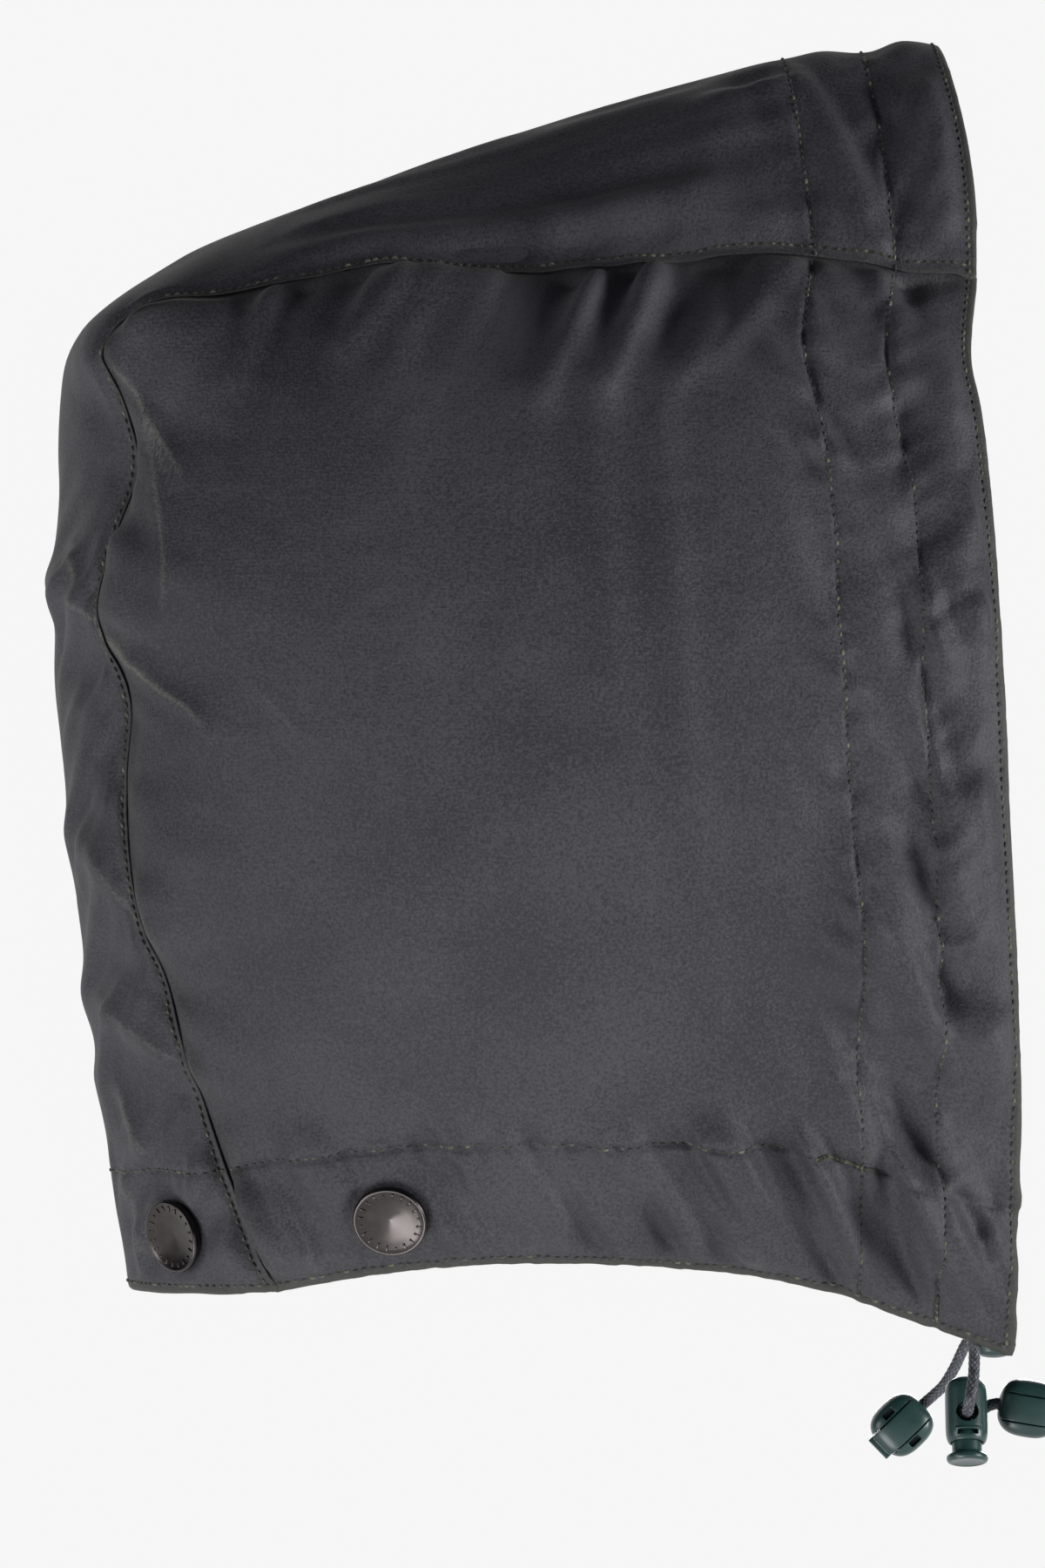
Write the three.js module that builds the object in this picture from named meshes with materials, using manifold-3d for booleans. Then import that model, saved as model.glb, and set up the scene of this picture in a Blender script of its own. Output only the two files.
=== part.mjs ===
// Detachable hood of waxed cotton: two side panels, a lapped crown panel, a face casing for the drawcord,
// a neck facing, four press studs, and a drawcord with a cord lock and a cord end on each side.
// Millimetres, +Z up, +X towards the face opening, +Y to the wearer's left. The origin is on the middle
// plane at the height of the collar, where the hood is pinned to the coat.
import * as THREE from 'three';
import { mergeVertices } from 'three/addons/utils/BufferGeometryUtils.js';
import Module from 'manifold-3d';

const wasm = await Module();
wasm.setup();

// Sizes of the cloth
const HOOD_DEPTH = 254;
const HOOD_HEIGHT = 346;
const HOOD_HALF_WIDTH = 95;
const SIDE_FULLNESS = 27;
const HEM_ROLL = 7;
const FACE_BOW = 2.4;
const CLOTH_WALL = 1.2;
const PIECE_GAP = 0.3;
const SEAM_LAP = 8;
const CASING_WIDTH = 42;
const NECK_BAND_HEIGHT = 33;

// Sizes of the press studs. Side studs stand at a share of the hem from the back seam, nape studs at a
// share of the crown panel's half width from its middle.
const SIDE_STUD_PLACE = 0.185;
const NAPE_STUD_PLACE = 0.64;
const CAP_DIAMETER = 19.5;
const CAP_HEIGHT = 2.6;
const POST_DIAMETER = 4.4;
const SOCKET_DIAMETER = 12.6;
const SOCKET_HEIGHT = 3.6;
const SOCKET_MOUTH_DIAMETER = 7.2;
const SOCKET_MOUTH_DEPTH = 1.8;
const STUD_RISE = 16.5;

// Sizes of the drawcord and what is on it
const CORD_DIAMETER = 3;
const LOCK_DIAMETER = 11;
const LOCK_LENGTH = 17.5;
const LOCK_WALL = 1.3;
const LOCK_HOLE_DIAMETER = 5.6;
const LOCK_HOLE_FROM_TOP = 10;
const LOCK_SLOT_WIDTH = 5;
const LOCK_SLOT_HEIGHT = 1.2;
const LOCK_SLOT_RISE = 2;
const LOCK_TILT = 20;
const PLUNGER_TRAVEL = 2.5;
const PLUNGER_NECK = 3;
const PLUNGER_CROWN = 1.4;
const BUTTON_DIAMETER = 10.8;
const BUTTON_HEIGHT = 2.2;
const CORD_END_LENGTH = 16;
const CORD_END_WIDTH = 15;
const CORD_END_THICKNESS = 10.5;
const CLIP_WIDTH = 7.6;
const CLIP_THICKNESS = 2.2;
const CLIP_SLOT_LENGTH = 3.1;
const CLIP_SLOT_WIDTH = 1.7;
const CLIP_PROUD = 0.5;
const LIP_LENGTH = 3;

// Where the origin lies in the cloth's own depth and height
const BACK_REACH = 0.498 * HOOD_DEPTH;
const FRONT_DROP = 0.0405 * HOOD_HEIGHT;

// Sections of the crown panel from the face opening over the top to the nape. Places are shares of the
// hood's depth from the back and of its height from the lowest corner; seamOut is a share of the half
// width, and slope says how far the section is still falling outwards where it meets the seam.
const CROWN_SECTIONS = [
  { ridgeX: 0.934, ridgeZ: 1.0, seamX: 0.962, seamZ: 0.812, seamOut: 0.52, slope: 0.32 },
  { ridgeX: 0.895, ridgeZ: 1.003, seamX: 0.921, seamZ: 0.815, seamOut: 0.525, slope: 0.32 },
  { ridgeX: 0.853, ridgeZ: 0.993, seamX: 0.879, seamZ: 0.816, seamOut: 0.53, slope: 0.32 },
  { ridgeX: 0.769, ridgeZ: 0.988, seamX: 0.796, seamZ: 0.826, seamOut: 0.53, slope: 0.32 },
  { ridgeX: 0.681, ridgeZ: 0.972, seamX: 0.703, seamZ: 0.826, seamOut: 0.53, slope: 0.3 },
  { ridgeX: 0.498, ridgeZ: 0.932, seamX: 0.534, seamZ: 0.814, seamOut: 0.53, slope: 0.28 },
  { ridgeX: 0.315, ridgeZ: 0.886, seamX: 0.363, seamZ: 0.82, seamOut: 0.525, slope: 0.26 },
  { ridgeX: 0.228, ridgeZ: 0.864, seamX: 0.275, seamZ: 0.811, seamOut: 0.515, slope: 0.25 },
  { ridgeX: 0.157, ridgeZ: 0.843, seamX: 0.197, seamZ: 0.799, seamOut: 0.5, slope: 0.24 },
  { ridgeX: 0.106, ridgeZ: 0.82, seamX: 0.134, seamZ: 0.798, seamOut: 0.485, slope: 0.22 },
  { ridgeX: 0.064, ridgeZ: 0.799, seamX: 0.092, seamZ: 0.784, seamOut: 0.47, slope: 0.22 },
  { ridgeX: 0.037, ridgeZ: 0.781, seamX: 0.074, seamZ: 0.769, seamOut: 0.465, slope: 0.24 },
  { ridgeX: 0.019, ridgeZ: 0.757, seamX: 0.071, seamZ: 0.748, seamOut: 0.465, slope: 0.26 },
  { ridgeX: 0.012, ridgeZ: 0.726, seamX: 0.09, seamZ: 0.719, seamOut: 0.465, slope: 0.28 },
  { ridgeX: 0.01, ridgeZ: 0.689, seamX: 0.1, seamZ: 0.687, seamOut: 0.47, slope: 0.3 },
  { ridgeX: 0.011, ridgeZ: 0.65, seamX: 0.092, seamZ: 0.648, seamOut: 0.47, slope: 0.3 },
  { ridgeX: 0.004, ridgeZ: 0.586, seamX: 0.064, seamZ: 0.578, seamOut: 0.475, slope: 0.3 },
  { ridgeX: 0.003, ridgeZ: 0.549, seamX: 0.074, seamZ: 0.536, seamOut: 0.48, slope: 0.3 },
  { ridgeX: 0.006, ridgeZ: 0.509, seamX: 0.091, seamZ: 0.505, seamOut: 0.485, slope: 0.3 },
  { ridgeX: 0.018, ridgeZ: 0.432, seamX: 0.09, seamZ: 0.432, seamOut: 0.49, slope: 0.3 },
  { ridgeX: 0.028, ridgeZ: 0.362, seamX: 0.098, seamZ: 0.362, seamOut: 0.5, slope: 0.3 },
  { ridgeX: 0.041, ridgeZ: 0.282, seamX: 0.132, seamZ: 0.284, seamOut: 0.51, slope: 0.32 },
  { ridgeX: 0.064, ridgeZ: 0.151, seamX: 0.187, seamZ: 0.158, seamOut: 0.535, slope: 0.36 },
  { ridgeX: 0.084, ridgeZ: 0.043, seamX: 0.243, seamZ: 0.049, seamOut: 0.525, slope: 0.4 },
];

// The hem of a side panel from the crown seam to the front corner, and its face edge from that corner
// up to the crown seam, in the same shares
const HEM_LINE = [
  { x: 0.243, z: 0.049, out: 0.525 },
  { x: 0.335, z: 0.062, out: 0.6 },
  { x: 0.43, z: 0.07, out: 0.63 },
  { x: 0.525, z: 0.072, out: 0.625 },
  { x: 0.62, z: 0.07, out: 0.605 },
  { x: 0.715, z: 0.064, out: 0.585 },
  { x: 0.81, z: 0.05, out: 0.56 },
  { x: 0.905, z: 0.026, out: 0.525 },
  { x: 1.0, z: 0.0, out: 0.485 },
];
const FACE_LINE = [
  { x: 1.0, z: 0.0, out: 0.485 },
  { x: 1.002, z: 0.1, out: 0.59 },
  { x: 1.003, z: 0.2, out: 0.69 },
  { x: 0.997, z: 0.3, out: 0.77 },
  { x: 0.989, z: 0.4, out: 0.82 },
  { x: 0.982, z: 0.505, out: 0.84 },
  { x: 0.974, z: 0.605, out: 0.815 },
  { x: 0.963, z: 0.7, out: 0.745 },
  { x: 0.953, z: 0.752, out: 0.66 },
  { x: 0.962, z: 0.812, out: 0.52 },
];
// Share of the crown sections at which the seam turns the back corner of the side panel
const CORNER_SHARE = 0.5;

// Folds and dents, as straight runs seen from the side. Places are shares as above; lift is outwards and
// reach is the half width of the fold, both in millimetres.
const FOLDS = [
  { name: 'gather_1', fromX: 0.627, fromZ: 0.81, toX: 0.575, toZ: 0.735, lift: 2.2, reach: 6 },
  { name: 'gather_2', fromX: 0.755, fromZ: 0.8, toX: 0.66, toZ: 0.75, lift: 1.8, reach: 7 },
  { name: 'gather_3', fromX: 0.56, fromZ: 0.805, toX: 0.505, toZ: 0.725, lift: 2, reach: 6 },
  { name: 'gather_4', fromX: 0.36, fromZ: 0.81, toX: 0.31, toZ: 0.765, lift: 1.8, reach: 7 },
  { name: 'gather_dent', fromX: 0.655, fromZ: 0.8, toX: 0.625, toZ: 0.765, lift: -1.6, reach: 6 },
  { name: 'back_corner', fromX: 0.075, fromZ: 0.745, toX: 0.14, toZ: 0.665, lift: 2.6, reach: 6 },
  { name: 'back_corner_dent', fromX: 0.06, fromZ: 0.715, toX: 0.1, toZ: 0.66, lift: -1.6, reach: 7 },
  { name: 'back_crease', fromX: 0.01, fromZ: 0.585, toX: 0.17, toZ: 0.47, lift: 2.2, reach: 6 },
  { name: 'back_crease_dent', fromX: 0.01, fromZ: 0.55, toX: 0.13, toZ: 0.45, lift: -1.2, reach: 8 },
  { name: 'nape_1', fromX: 0.035, fromZ: 0.39, toX: 0.11, toZ: 0.315, lift: 1.8, reach: 7 },
  { name: 'nape_2', fromX: 0.045, fromZ: 0.27, toX: 0.15, toZ: 0.22, lift: 2.2, reach: 7 },
  { name: 'nape_3', fromX: 0.06, fromZ: 0.205, toX: 0.1, toZ: 0.155, lift: 2, reach: 6 },
  { name: 'face_low', fromX: 0.74, fromZ: 0.27, toX: 1.0, toZ: 0.155, lift: -3, reach: 14 },
  { name: 'face_low_ridge', fromX: 0.84, fromZ: 0.3, toX: 0.99, toZ: 0.235, lift: 2.4, reach: 12 },
  { name: 'face_middle', fromX: 0.9, fromZ: 0.64, toX: 0.98, toZ: 0.54, lift: 2, reach: 9 },
];

// Routes of the two free cord ends, chosen by hand, from inside the casing mouth to the cord end
const CORD_ROUTE_RIGHT = [
  [117.5, -46.1, -6.0],
  [117.5, -44.9, -9.0],
  [117.7, -44.4, -12.5],
  [117.6, -45.2, -16.0],
  [117.3, -46.9, -19.5],
  [116.7, -48.3, -22.6],
  [116.2, -48.7, -25.2],
  [115.9, -46.8, -27.6],
  [115.8, -42.8, -29.3],
  [115.8, -38.8, -30.8],
  [116.0, -35.2, -31.8],
  [117.6, -32.9, -31.4],
  [119.9, -32.3, -29.6],
  [122.3, -33.2, -28.0],
  [124.7, -34.0, -27.4],
  [128.4, -34.0, -28.0],
];
const CORD_ROUTE_LEFT = [
  [117.5, 46.1, -6.0],
  [117.5, 44.9, -9.0],
  [117.8, 43.6, -12.0],
  [119.2, 41.4, -13.8],
  [121.8, 39.6, -13.4],
  [124.8, 39.4, -12.0],
  [127.2, 38.4, -11.0],
  [127.9, 35.2, -10.9],
  [127.9, 31.5, -10.9],
  [127.9, 27.8, -10.9],
  [127.3, 24.8, -11.4],
  [125.0, 23.6, -12.6],
  [122.2, 24.6, -14.2],
  [120.3, 26.6, -16.6],
  [118.9, 28.6, -19.8],
  [117.3, 30.4, -23.6],
  [114.6, 32.4, -28.4],
  [112.0, 34.0, -31.2],
  [109.1, 35.0, -33.9],
  [106.4, 35.0, -36.5],
];

// Places of the cord locks and cord ends on the routes
const LOCK_PLACE_RIGHT = [115.8, -41.4, -29.8];
const LOCK_PLACE_LEFT = [127.9, 31.5, -10.9];
const CORD_END_PLACE_RIGHT = [132.6, -34.0, -28.7];
const CORD_END_ALONG_RIGHT = [0.986, 0, -0.165];
const CORD_END_PLACE_LEFT = [103.3, 35.0, -39.5];
const CORD_END_ALONG_LEFT = [-0.72, 0, -0.7];

const CLOTH_COLOUR = 0x3d3c42;
const METAL_COLOUR = 0x3a3636;
const PLASTIC_COLOUR = 0x24403f;
const CORD_COLOUR = 0x34343c;

// Depth of one cloth and the gap under it, and the columns and rows of the cloth's grid
const COATED = CLOTH_WALL + PIECE_GAP;
const BODY_COLUMNS = 14;
const CASING_COLUMNS = 4;
const BAND_ROWS = 2;
const UPPER_ROWS = 18;
const CROWN_HALF_STEPS = [0, 0.22, 0.43, 0.63];

const clamp = (value, low, high) => Math.min(Math.max(value, low), high);

// Value of one column of a table at a share of its rows, on a smooth curve through them
function column(rows, share, key) {
  const place = clamp(share, 0, 1) * (rows.length - 1);
  const index = Math.min(Math.floor(place), rows.length - 2);
  const t = place - index;
  const at = (i) => rows[clamp(i, 0, rows.length - 1)][key];
  const a = at(index - 1);
  const b = at(index);
  const c = at(index + 1);
  const d = at(index + 2);
  return b + 0.5 * t * (c - a + t * (2 * a - 5 * b + 4 * c - d + t * (3 * (b - c) + d - a)));
}

const worldX = (share) => share * HOOD_DEPTH - BACK_REACH;
const worldZ = (share) => share * HOOD_HEIGHT - FRONT_DROP;

// Direction in which the cloth is lifted: away from the middle of the head
function outwards(point) {
  const scaled = new THREE.Vector3(
    point.x / HOOD_DEPTH ** 2,
    point.y / HOOD_HALF_WIDTH ** 2 / 4,
    (point.z - HOOD_HEIGHT * 0.4) / HOOD_HEIGHT ** 2,
  );
  return scaled.normalize();
}

function foldLift(x, z) {
  let lift = 0;
  for (const fold of FOLDS) {
    const fromX = worldX(fold.fromX);
    const fromZ = worldZ(fold.fromZ);
    const runX = worldX(fold.toX) - fromX;
    const runZ = worldZ(fold.toZ) - fromZ;
    const length = Math.hypot(runX, runZ);
    const along = ((x - fromX) * runX + (z - fromZ) * runZ) / length;
    const aside = ((x - fromX) * runZ - (z - fromZ) * runX) / length;
    const past = Math.max(-along, along - length, 0);
    lift += fold.lift * Math.exp(-(aside ** 2 + past ** 2) / fold.reach ** 2);
  }
  return lift;
}

function lifted(point) {
  return point.addScaledVector(outwards(point), foldLift(point.x, point.z));
}

// Outer face of the crown panel: share runs from the face edge to the nape, across from the right seam
// at -1 to the left seam at 1
function crownPoint(share, across) {
  const turn = Math.abs(across) * Math.PI / 2;
  const drop = 1 - Math.cos(turn);
  const slope = column(CROWN_SECTIONS, share, 'slope');
  const reach = (1 - slope) * Math.sin(turn) + slope * drop;
  const ridgeX = worldX(column(CROWN_SECTIONS, share, 'ridgeX'));
  const ridgeZ = worldZ(column(CROWN_SECTIONS, share, 'ridgeZ'));
  const seamX = worldX(column(CROWN_SECTIONS, share, 'seamX'));
  const seamZ = worldZ(column(CROWN_SECTIONS, share, 'seamZ'));
  const out = HOOD_HALF_WIDTH * column(CROWN_SECTIONS, share, 'seamOut');
  const bow = FACE_BOW * Math.max(0, 1 - share * 6) * Math.sin(Math.PI * drop);
  return lifted(new THREE.Vector3(
    ridgeX + (seamX - ridgeX) * drop + bow,
    Math.sign(across) * out * reach,
    ridgeZ + (seamZ - ridgeZ) * drop,
  ));
}

// Outward direction of a surface at a place, from its neighbours
function normalAt(surface, a, b) {
  const step = 0.004;
  const alongA = surface(Math.min(a + step, 1), b).sub(surface(Math.max(a - step, -1), b));
  const alongB = surface(a, Math.min(b + step, 1)).sub(surface(a, Math.max(b - step, -1)));
  const normal = alongA.cross(alongB).normalize();
  return normal.dot(outwards(surface(a, b))) < 0 ? normal.negate() : normal;
}

function crownOffset(share, across, depth) {
  const normal = normalAt((a, b) => crownPoint(clamp(a, 0, 1), b), share, across);
  return crownPoint(share, across).addScaledVector(normal, -depth);
}

// Runs a curve at an even pace: returns its own share for a share of its length
function evenPace(curve) {
  const samples = 240;
  const lengths = [0];
  let last = curve(0);
  for (let i = 1; i <= samples; i += 1) {
    const next = curve(i / samples);
    lengths.push(lengths[i - 1] + next.distanceTo(last));
    last = next;
  }
  const shareOf = (evenShare) => {
    const target = clamp(evenShare, 0, 1) * lengths[samples];
    const i = Math.max(1, lengths.findIndex((length) => length >= target - 1e-9));
    return (i - 1 + (target - lengths[i - 1]) / (lengths[i] - lengths[i - 1])) / samples;
  };
  return { shareOf, length: lengths[samples] };
}

function tableLine(rows) {
  const point = (share) => new THREE.Vector3(
    worldX(column(rows, share, 'x')),
    HOOD_HALF_WIDTH * column(rows, share, 'out'),
    worldZ(column(rows, share, 'z')),
  );
  const pace = evenPace(point);
  return { point: (share) => point(pace.shareOf(share)), length: pace.length };
}

// The seam under the crown panel's edge, on the left side, and the pace of its top and back runs
const seamPoint = (share) => crownOffset(share, 1, COATED);
const topRun = evenPace((t) => seamPoint(t * CORNER_SHARE));
const backRun = evenPace((t) => seamPoint(CORNER_SHARE + t * (1 - CORNER_SHARE)));
const topShare = (u) => CORNER_SHARE * topRun.shareOf(1 - u);
const backShare = (v) => CORNER_SHARE + (1 - CORNER_SHARE) * backRun.shareOf(1 - v);
const hem = tableLine(HEM_LINE);
const face = tableLine(FACE_LINE);
const cornerTopBack = seamPoint(CORNER_SHARE);
const cornerTopFront = seamPoint(0);
const cornerNape = seamPoint(1);
const cornerFront = face.point(0);
const hemToSeam = cornerNape.clone().sub(hem.point(0));
const faceToSeam = cornerTopFront.clone().sub(face.point(1));

// Rises from 0 at one side to 1 and falls to 0 at the other, steeper where its power is lower
const STEEP = 0.6;
const EVEN = 1;
function swell(t, rise, fall) {
  const peak = rise / (rise + fall);
  return (t ** rise * (1 - t) ** fall) / (peak ** rise * (1 - peak) ** fall);
}

// Outer face of a side panel: u runs from the back seam to the face edge, v from the hem to the top seam
const HEM_ROLL_SHARE = 0.07;
function sidePoint(u, v, side) {
  const top = seamPoint(topShare(u));
  const back = seamPoint(backShare(v));
  const bottom = hem.point(u).addScaledVector(hemToSeam, (1 - u) ** 3);
  const front = face.point(v).addScaledVector(faceToSeam, v ** 3);
  const point = new THREE.Vector3();
  point.addScaledVector(bottom, 1 - v).addScaledVector(top, v);
  point.addScaledVector(back, 1 - u).addScaledVector(front, u);
  point.addScaledVector(cornerNape, -(1 - u) * (1 - v)).addScaledVector(cornerFront, -u * (1 - v));
  point.addScaledVector(cornerTopBack, -(1 - u) * v).addScaledVector(cornerTopFront, -u * v);
  point.y += SIDE_FULLNESS * swell(u, STEEP, EVEN) * swell(v, EVEN, STEEP);
  const acrossHem = Math.sqrt(Math.max(0, Math.sin(Math.PI * u)));
  point.y += HEM_ROLL * acrossHem * (1 - Math.exp(-v / HEM_ROLL_SHARE)) * (1 - v);
  const inside = 16 * u * (1 - u) * v * (1 - v);
  point.addScaledVector(outwards(point), foldLift(point.x, point.z) * Math.min(1, inside * 8));
  point.y *= side;
  return point;
}

function sideOffset(u, v, side, depth) {
  const surface = (a, b) => sidePoint(clamp(a, 0, 1), clamp(b, 0, 1), side);
  return surface(u, v).addScaledVector(normalAt(surface, u, v), -depth);
}

// Places of the grid on a side panel. The last columns follow the casing at its own width.
const rowLength = (v) => seamPoint(backShare(v)).distanceTo(face.point(v));
const casingU = (v, share) => 1 - share * CASING_WIDTH / rowLength(v);
function columnU(v, index) {
  if (index <= BODY_COLUMNS) {
    return casingU(v, 1) * index / BODY_COLUMNS;
  }
  return casingU(v, 1 - (index - BODY_COLUMNS) / CASING_COLUMNS);
}
function rowV(index) {
  const band = NECK_BAND_HEIGHT / face.length;
  if (index <= BAND_ROWS) {
    return band * index / BAND_ROWS;
  }
  return band + (1 - band) * (index - BAND_ROWS) / UPPER_ROWS;
}
const SIDE_COLUMNS = BODY_COLUMNS + CASING_COLUMNS;
const SIDE_ROWS = BAND_ROWS + UPPER_ROWS;

// Shares of the crown at which its grid meets the columns and rows of the side panels
const CROWN_SHARES = [];
for (let j = SIDE_COLUMNS; j > 0; j -= 1) {
  CROWN_SHARES.push(topShare(columnU(1, j)));
}
for (let i = SIDE_ROWS; i >= 0; i -= 1) {
  CROWN_SHARES.push(backShare(rowV(i)));
}
const crownHalfArc = crownPoint(0.5, 1).distanceTo(crownPoint(0.5, 0));
const LAP_ACROSS = 1 - SEAM_LAP / crownHalfArc;
const leftSteps = [...CROWN_HALF_STEPS, LAP_ACROSS, 1];
const CROWN_ACROSS = [...leftSteps.slice(1).map((step) => -step).reverse(), ...leftSteps];

// Depth of the lining under the crown's outer face: one cloth in the middle, two where the panels lap
function liningDepth(across) {
  const t = clamp((Math.abs(across) - CROWN_HALF_STEPS[2]) / (LAP_ACROSS - CROWN_HALF_STEPS[2]), 0, 1);
  return COATED * (1 + t * t * (3 - 2 * t));
}

// A grid of points joined into a sheet, with its faces turned over where the grid runs the other way
function sheet(rows, turned = false) {
  const positions = [];
  const quad = (a, b, c, d) => {
    const corners = turned ? [a, c, b, a, d, c] : [a, b, c, a, c, d];
    corners.forEach((p) => positions.push(p.x, p.y, p.z));
  };
  for (let i = 0; i + 1 < rows.length; i += 1) {
    for (let j = 0; j + 1 < rows[i].length; j += 1) {
      quad(rows[i][j], rows[i][j + 1], rows[i + 1][j + 1], rows[i + 1][j]);
    }
  }
  return positions;
}

function bufferOf(positions, index) {
  const geometry = new THREE.BufferGeometry();
  geometry.setAttribute('position', new THREE.Float32BufferAttribute(positions, 3));
  if (index) {
    geometry.setIndex(index);
  }
  return geometry;
}

function signedVolume(geometry) {
  const p = geometry.attributes.position;
  const index = geometry.index.array;
  const corner = (i) => new THREE.Vector3().fromBufferAttribute(p, index[i]);
  let volume = 0;
  for (let i = 0; i < index.length; i += 3) {
    volume += corner(i).dot(corner(i + 1).cross(corner(i + 2))) / 6;
  }
  return volume;
}

function turnOutwards(geometry) {
  if (signedVolume(geometry) < 0) {
    const index = geometry.index.array;
    for (let i = 0; i < index.length; i += 3) {
      [index[i + 1], index[i + 2]] = [index[i + 2], index[i + 1]];
    }
  }
  return geometry;
}

// Gives sheets that meet along shared edges the thickness of the cloth, inwards from the outer face
function cloth(sheets, outwardsAt) {
  const outer = mergeVertices(bufferOf(sheets.flat()), 1e-3);
  const index = [...outer.index.array];
  outer.computeVertexNormals();
  const p = outer.attributes.position;
  const n = outer.attributes.normal;
  const count = p.count;
  const first = new THREE.Vector3().fromBufferAttribute(n, 0);
  const flip = first.dot(outwardsAt(new THREE.Vector3().fromBufferAttribute(p, 0))) > 0 ? 1 : -1;
  const positions = [...p.array];
  for (let i = 0; i < count; i += 1) {
    positions.push(p.getX(i) - flip * CLOTH_WALL * n.getX(i));
    positions.push(p.getY(i) - flip * CLOTH_WALL * n.getY(i));
    positions.push(p.getZ(i) - flip * CLOTH_WALL * n.getZ(i));
  }
  const edges = new Set();
  for (let i = 0; i < index.length; i += 3) {
    [0, 1, 2].forEach((k) => edges.add(`${index[i + k]}_${index[i + (k + 1) % 3]}`));
  }
  const faces = [...index];
  for (let i = 0; i < index.length; i += 3) {
    faces.push(index[i] + count, index[i + 2] + count, index[i + 1] + count);
    for (let k = 0; k < 3; k += 1) {
      const a = index[i + k];
      const b = index[i + (k + 1) % 3];
      if (!edges.has(`${b}_${a}`)) {
        faces.push(b, a, a + count, b, a + count, b + count);
      }
    }
  }
  return turnOutwards(bufferOf(positions, faces));
}

function solidOf(geometry) {
  const bare = geometry.clone();
  bare.deleteAttribute('normal');
  bare.deleteAttribute('uv');
  const merged = mergeVertices(bare, 1e-4);
  return new wasm.Manifold(new wasm.Mesh({
    numProp: 3,
    vertProperties: new Float32Array(merged.attributes.position.array),
    triVerts: new Uint32Array(merged.index.array),
  }));
}

function geometryOf(solid) {
  const mesh = solid.getMesh();
  return bufferOf([...mesh.vertProperties], [...mesh.triVerts]);
}

const cut = (geometry, tools) => geometryOf(
  tools.reduce((solid, tool) => solid.subtract(solidOf(tool)), solidOf(geometry)),
);
const join = (geometries) => geometryOf(geometries.map(solidOf).reduce((all, one) => all.add(one)));

function sidePanel(side) {
  const grid = [];
  for (let i = 0; i <= SIDE_ROWS; i += 1) {
    const v = rowV(i);
    const row = [];
    for (let j = 0; j <= SIDE_COLUMNS; j += 1) {
      row.push(sidePoint(columnU(v, j), v, side));
    }
    grid.push(row);
  }
  const lapped = (share, across) => {
    const point = crownOffset(share, across, COATED);
    point.y *= side;
    return point;
  };
  const lapSteps = side > 0 ? [LAP_ACROSS, 1] : [1, LAP_ACROSS];
  const lap = CROWN_SHARES.map((share) => lapSteps.map((across) => lapped(share, across)));
  return cloth([sheet(grid), sheet(lap, side > 0)], outwards);
}

function crownPanel() {
  const grid = CROWN_SHARES.map((share) => CROWN_ACROSS.map((across) => crownPoint(share, across)));
  return cloth([sheet(grid)], outwards);
}

// Inner strip of the face casing. Its rows run from the right front corner, over the top, to the left
// front corner, and it is sewn at its middle, so it makes a deep channel and a shallow one.
function faceFacing() {
  const deep = CORD_DIAMETER + PIECE_GAP;
  const shallow = deep / 3;
  const shares = [];
  for (let k = 0; k <= CASING_COLUMNS; k += 1) {
    shares.push(k / CASING_COLUMNS);
  }
  const hollow = (share) => (share < 0.5 ? deep : shallow) * Math.abs(Math.sin(Math.PI * 2 * share));
  const sideRow = (side, i) => {
    const v = rowV(i);
    return shares.map((share) => sideOffset(casingU(v, share), v, side, COATED + hollow(share)));
  };
  const grid = [];
  for (let i = 0; i < SIDE_ROWS; i += 1) {
    grid.push(sideRow(-1, i));
  }
  for (const across of CROWN_ACROSS) {
    grid.push(shares.map((share) => {
      const place = topShare(casingU(1, share));
      return crownOffset(place, across, liningDepth(across) + hollow(share));
    }));
  }
  for (let i = SIDE_ROWS - 1; i >= 0; i -= 1) {
    grid.push(sideRow(1, i));
  }
  return cloth([sheet(grid)], outwards);
}

// Inner strip of the hem band, between the two ends of the face casing
function neckFacing() {
  const grid = [];
  for (let i = 0; i <= BAND_ROWS; i += 1) {
    const v = rowV(i);
    const row = [];
    const nearest = BODY_COLUMNS - 1;
    for (let j = nearest; j > 0; j -= 1) {
      row.push(sideOffset(columnU(v, j), v, -1, COATED));
    }
    for (const across of CROWN_ACROSS) {
      row.push(crownOffset(backShare(v), across, liningDepth(across)));
    }
    for (let j = 1; j <= nearest; j += 1) {
      row.push(sideOffset(columnU(v, j), v, 1, COATED));
    }
    grid.push(row);
  }
  return cloth([sheet(grid)], outwards);
}

// A turned shape about its own Z axis from [radius, height] pairs
function turned(profile, sides) {
  const points = profile.map(([radius, height]) => new THREE.Vector2(radius, height));
  return new THREE.LatheGeometry(points, sides).rotateX(Math.PI / 2);
}

function closedTurned(profile, sides) {
  const bare = turned(profile, sides);
  bare.deleteAttribute('normal');
  bare.deleteAttribute('uv');
  return turnOutwards(mergeVertices(bare, 1e-4));
}

const rod = (radius, length, sides) => new THREE.CylinderGeometry(radius, radius, length, sides)
  .rotateX(Math.PI / 2);

const hood = new THREE.Group();
hood.name = 'hood';

function addPiece(parent, name, geometry, colour, roughness, metalness) {
  const material = new THREE.MeshStandardMaterial({ color: colour, roughness, metalness });
  const mesh = new THREE.Mesh(geometry, material);
  mesh.name = name;
  parent.add(mesh);
  return mesh;
}

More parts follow.
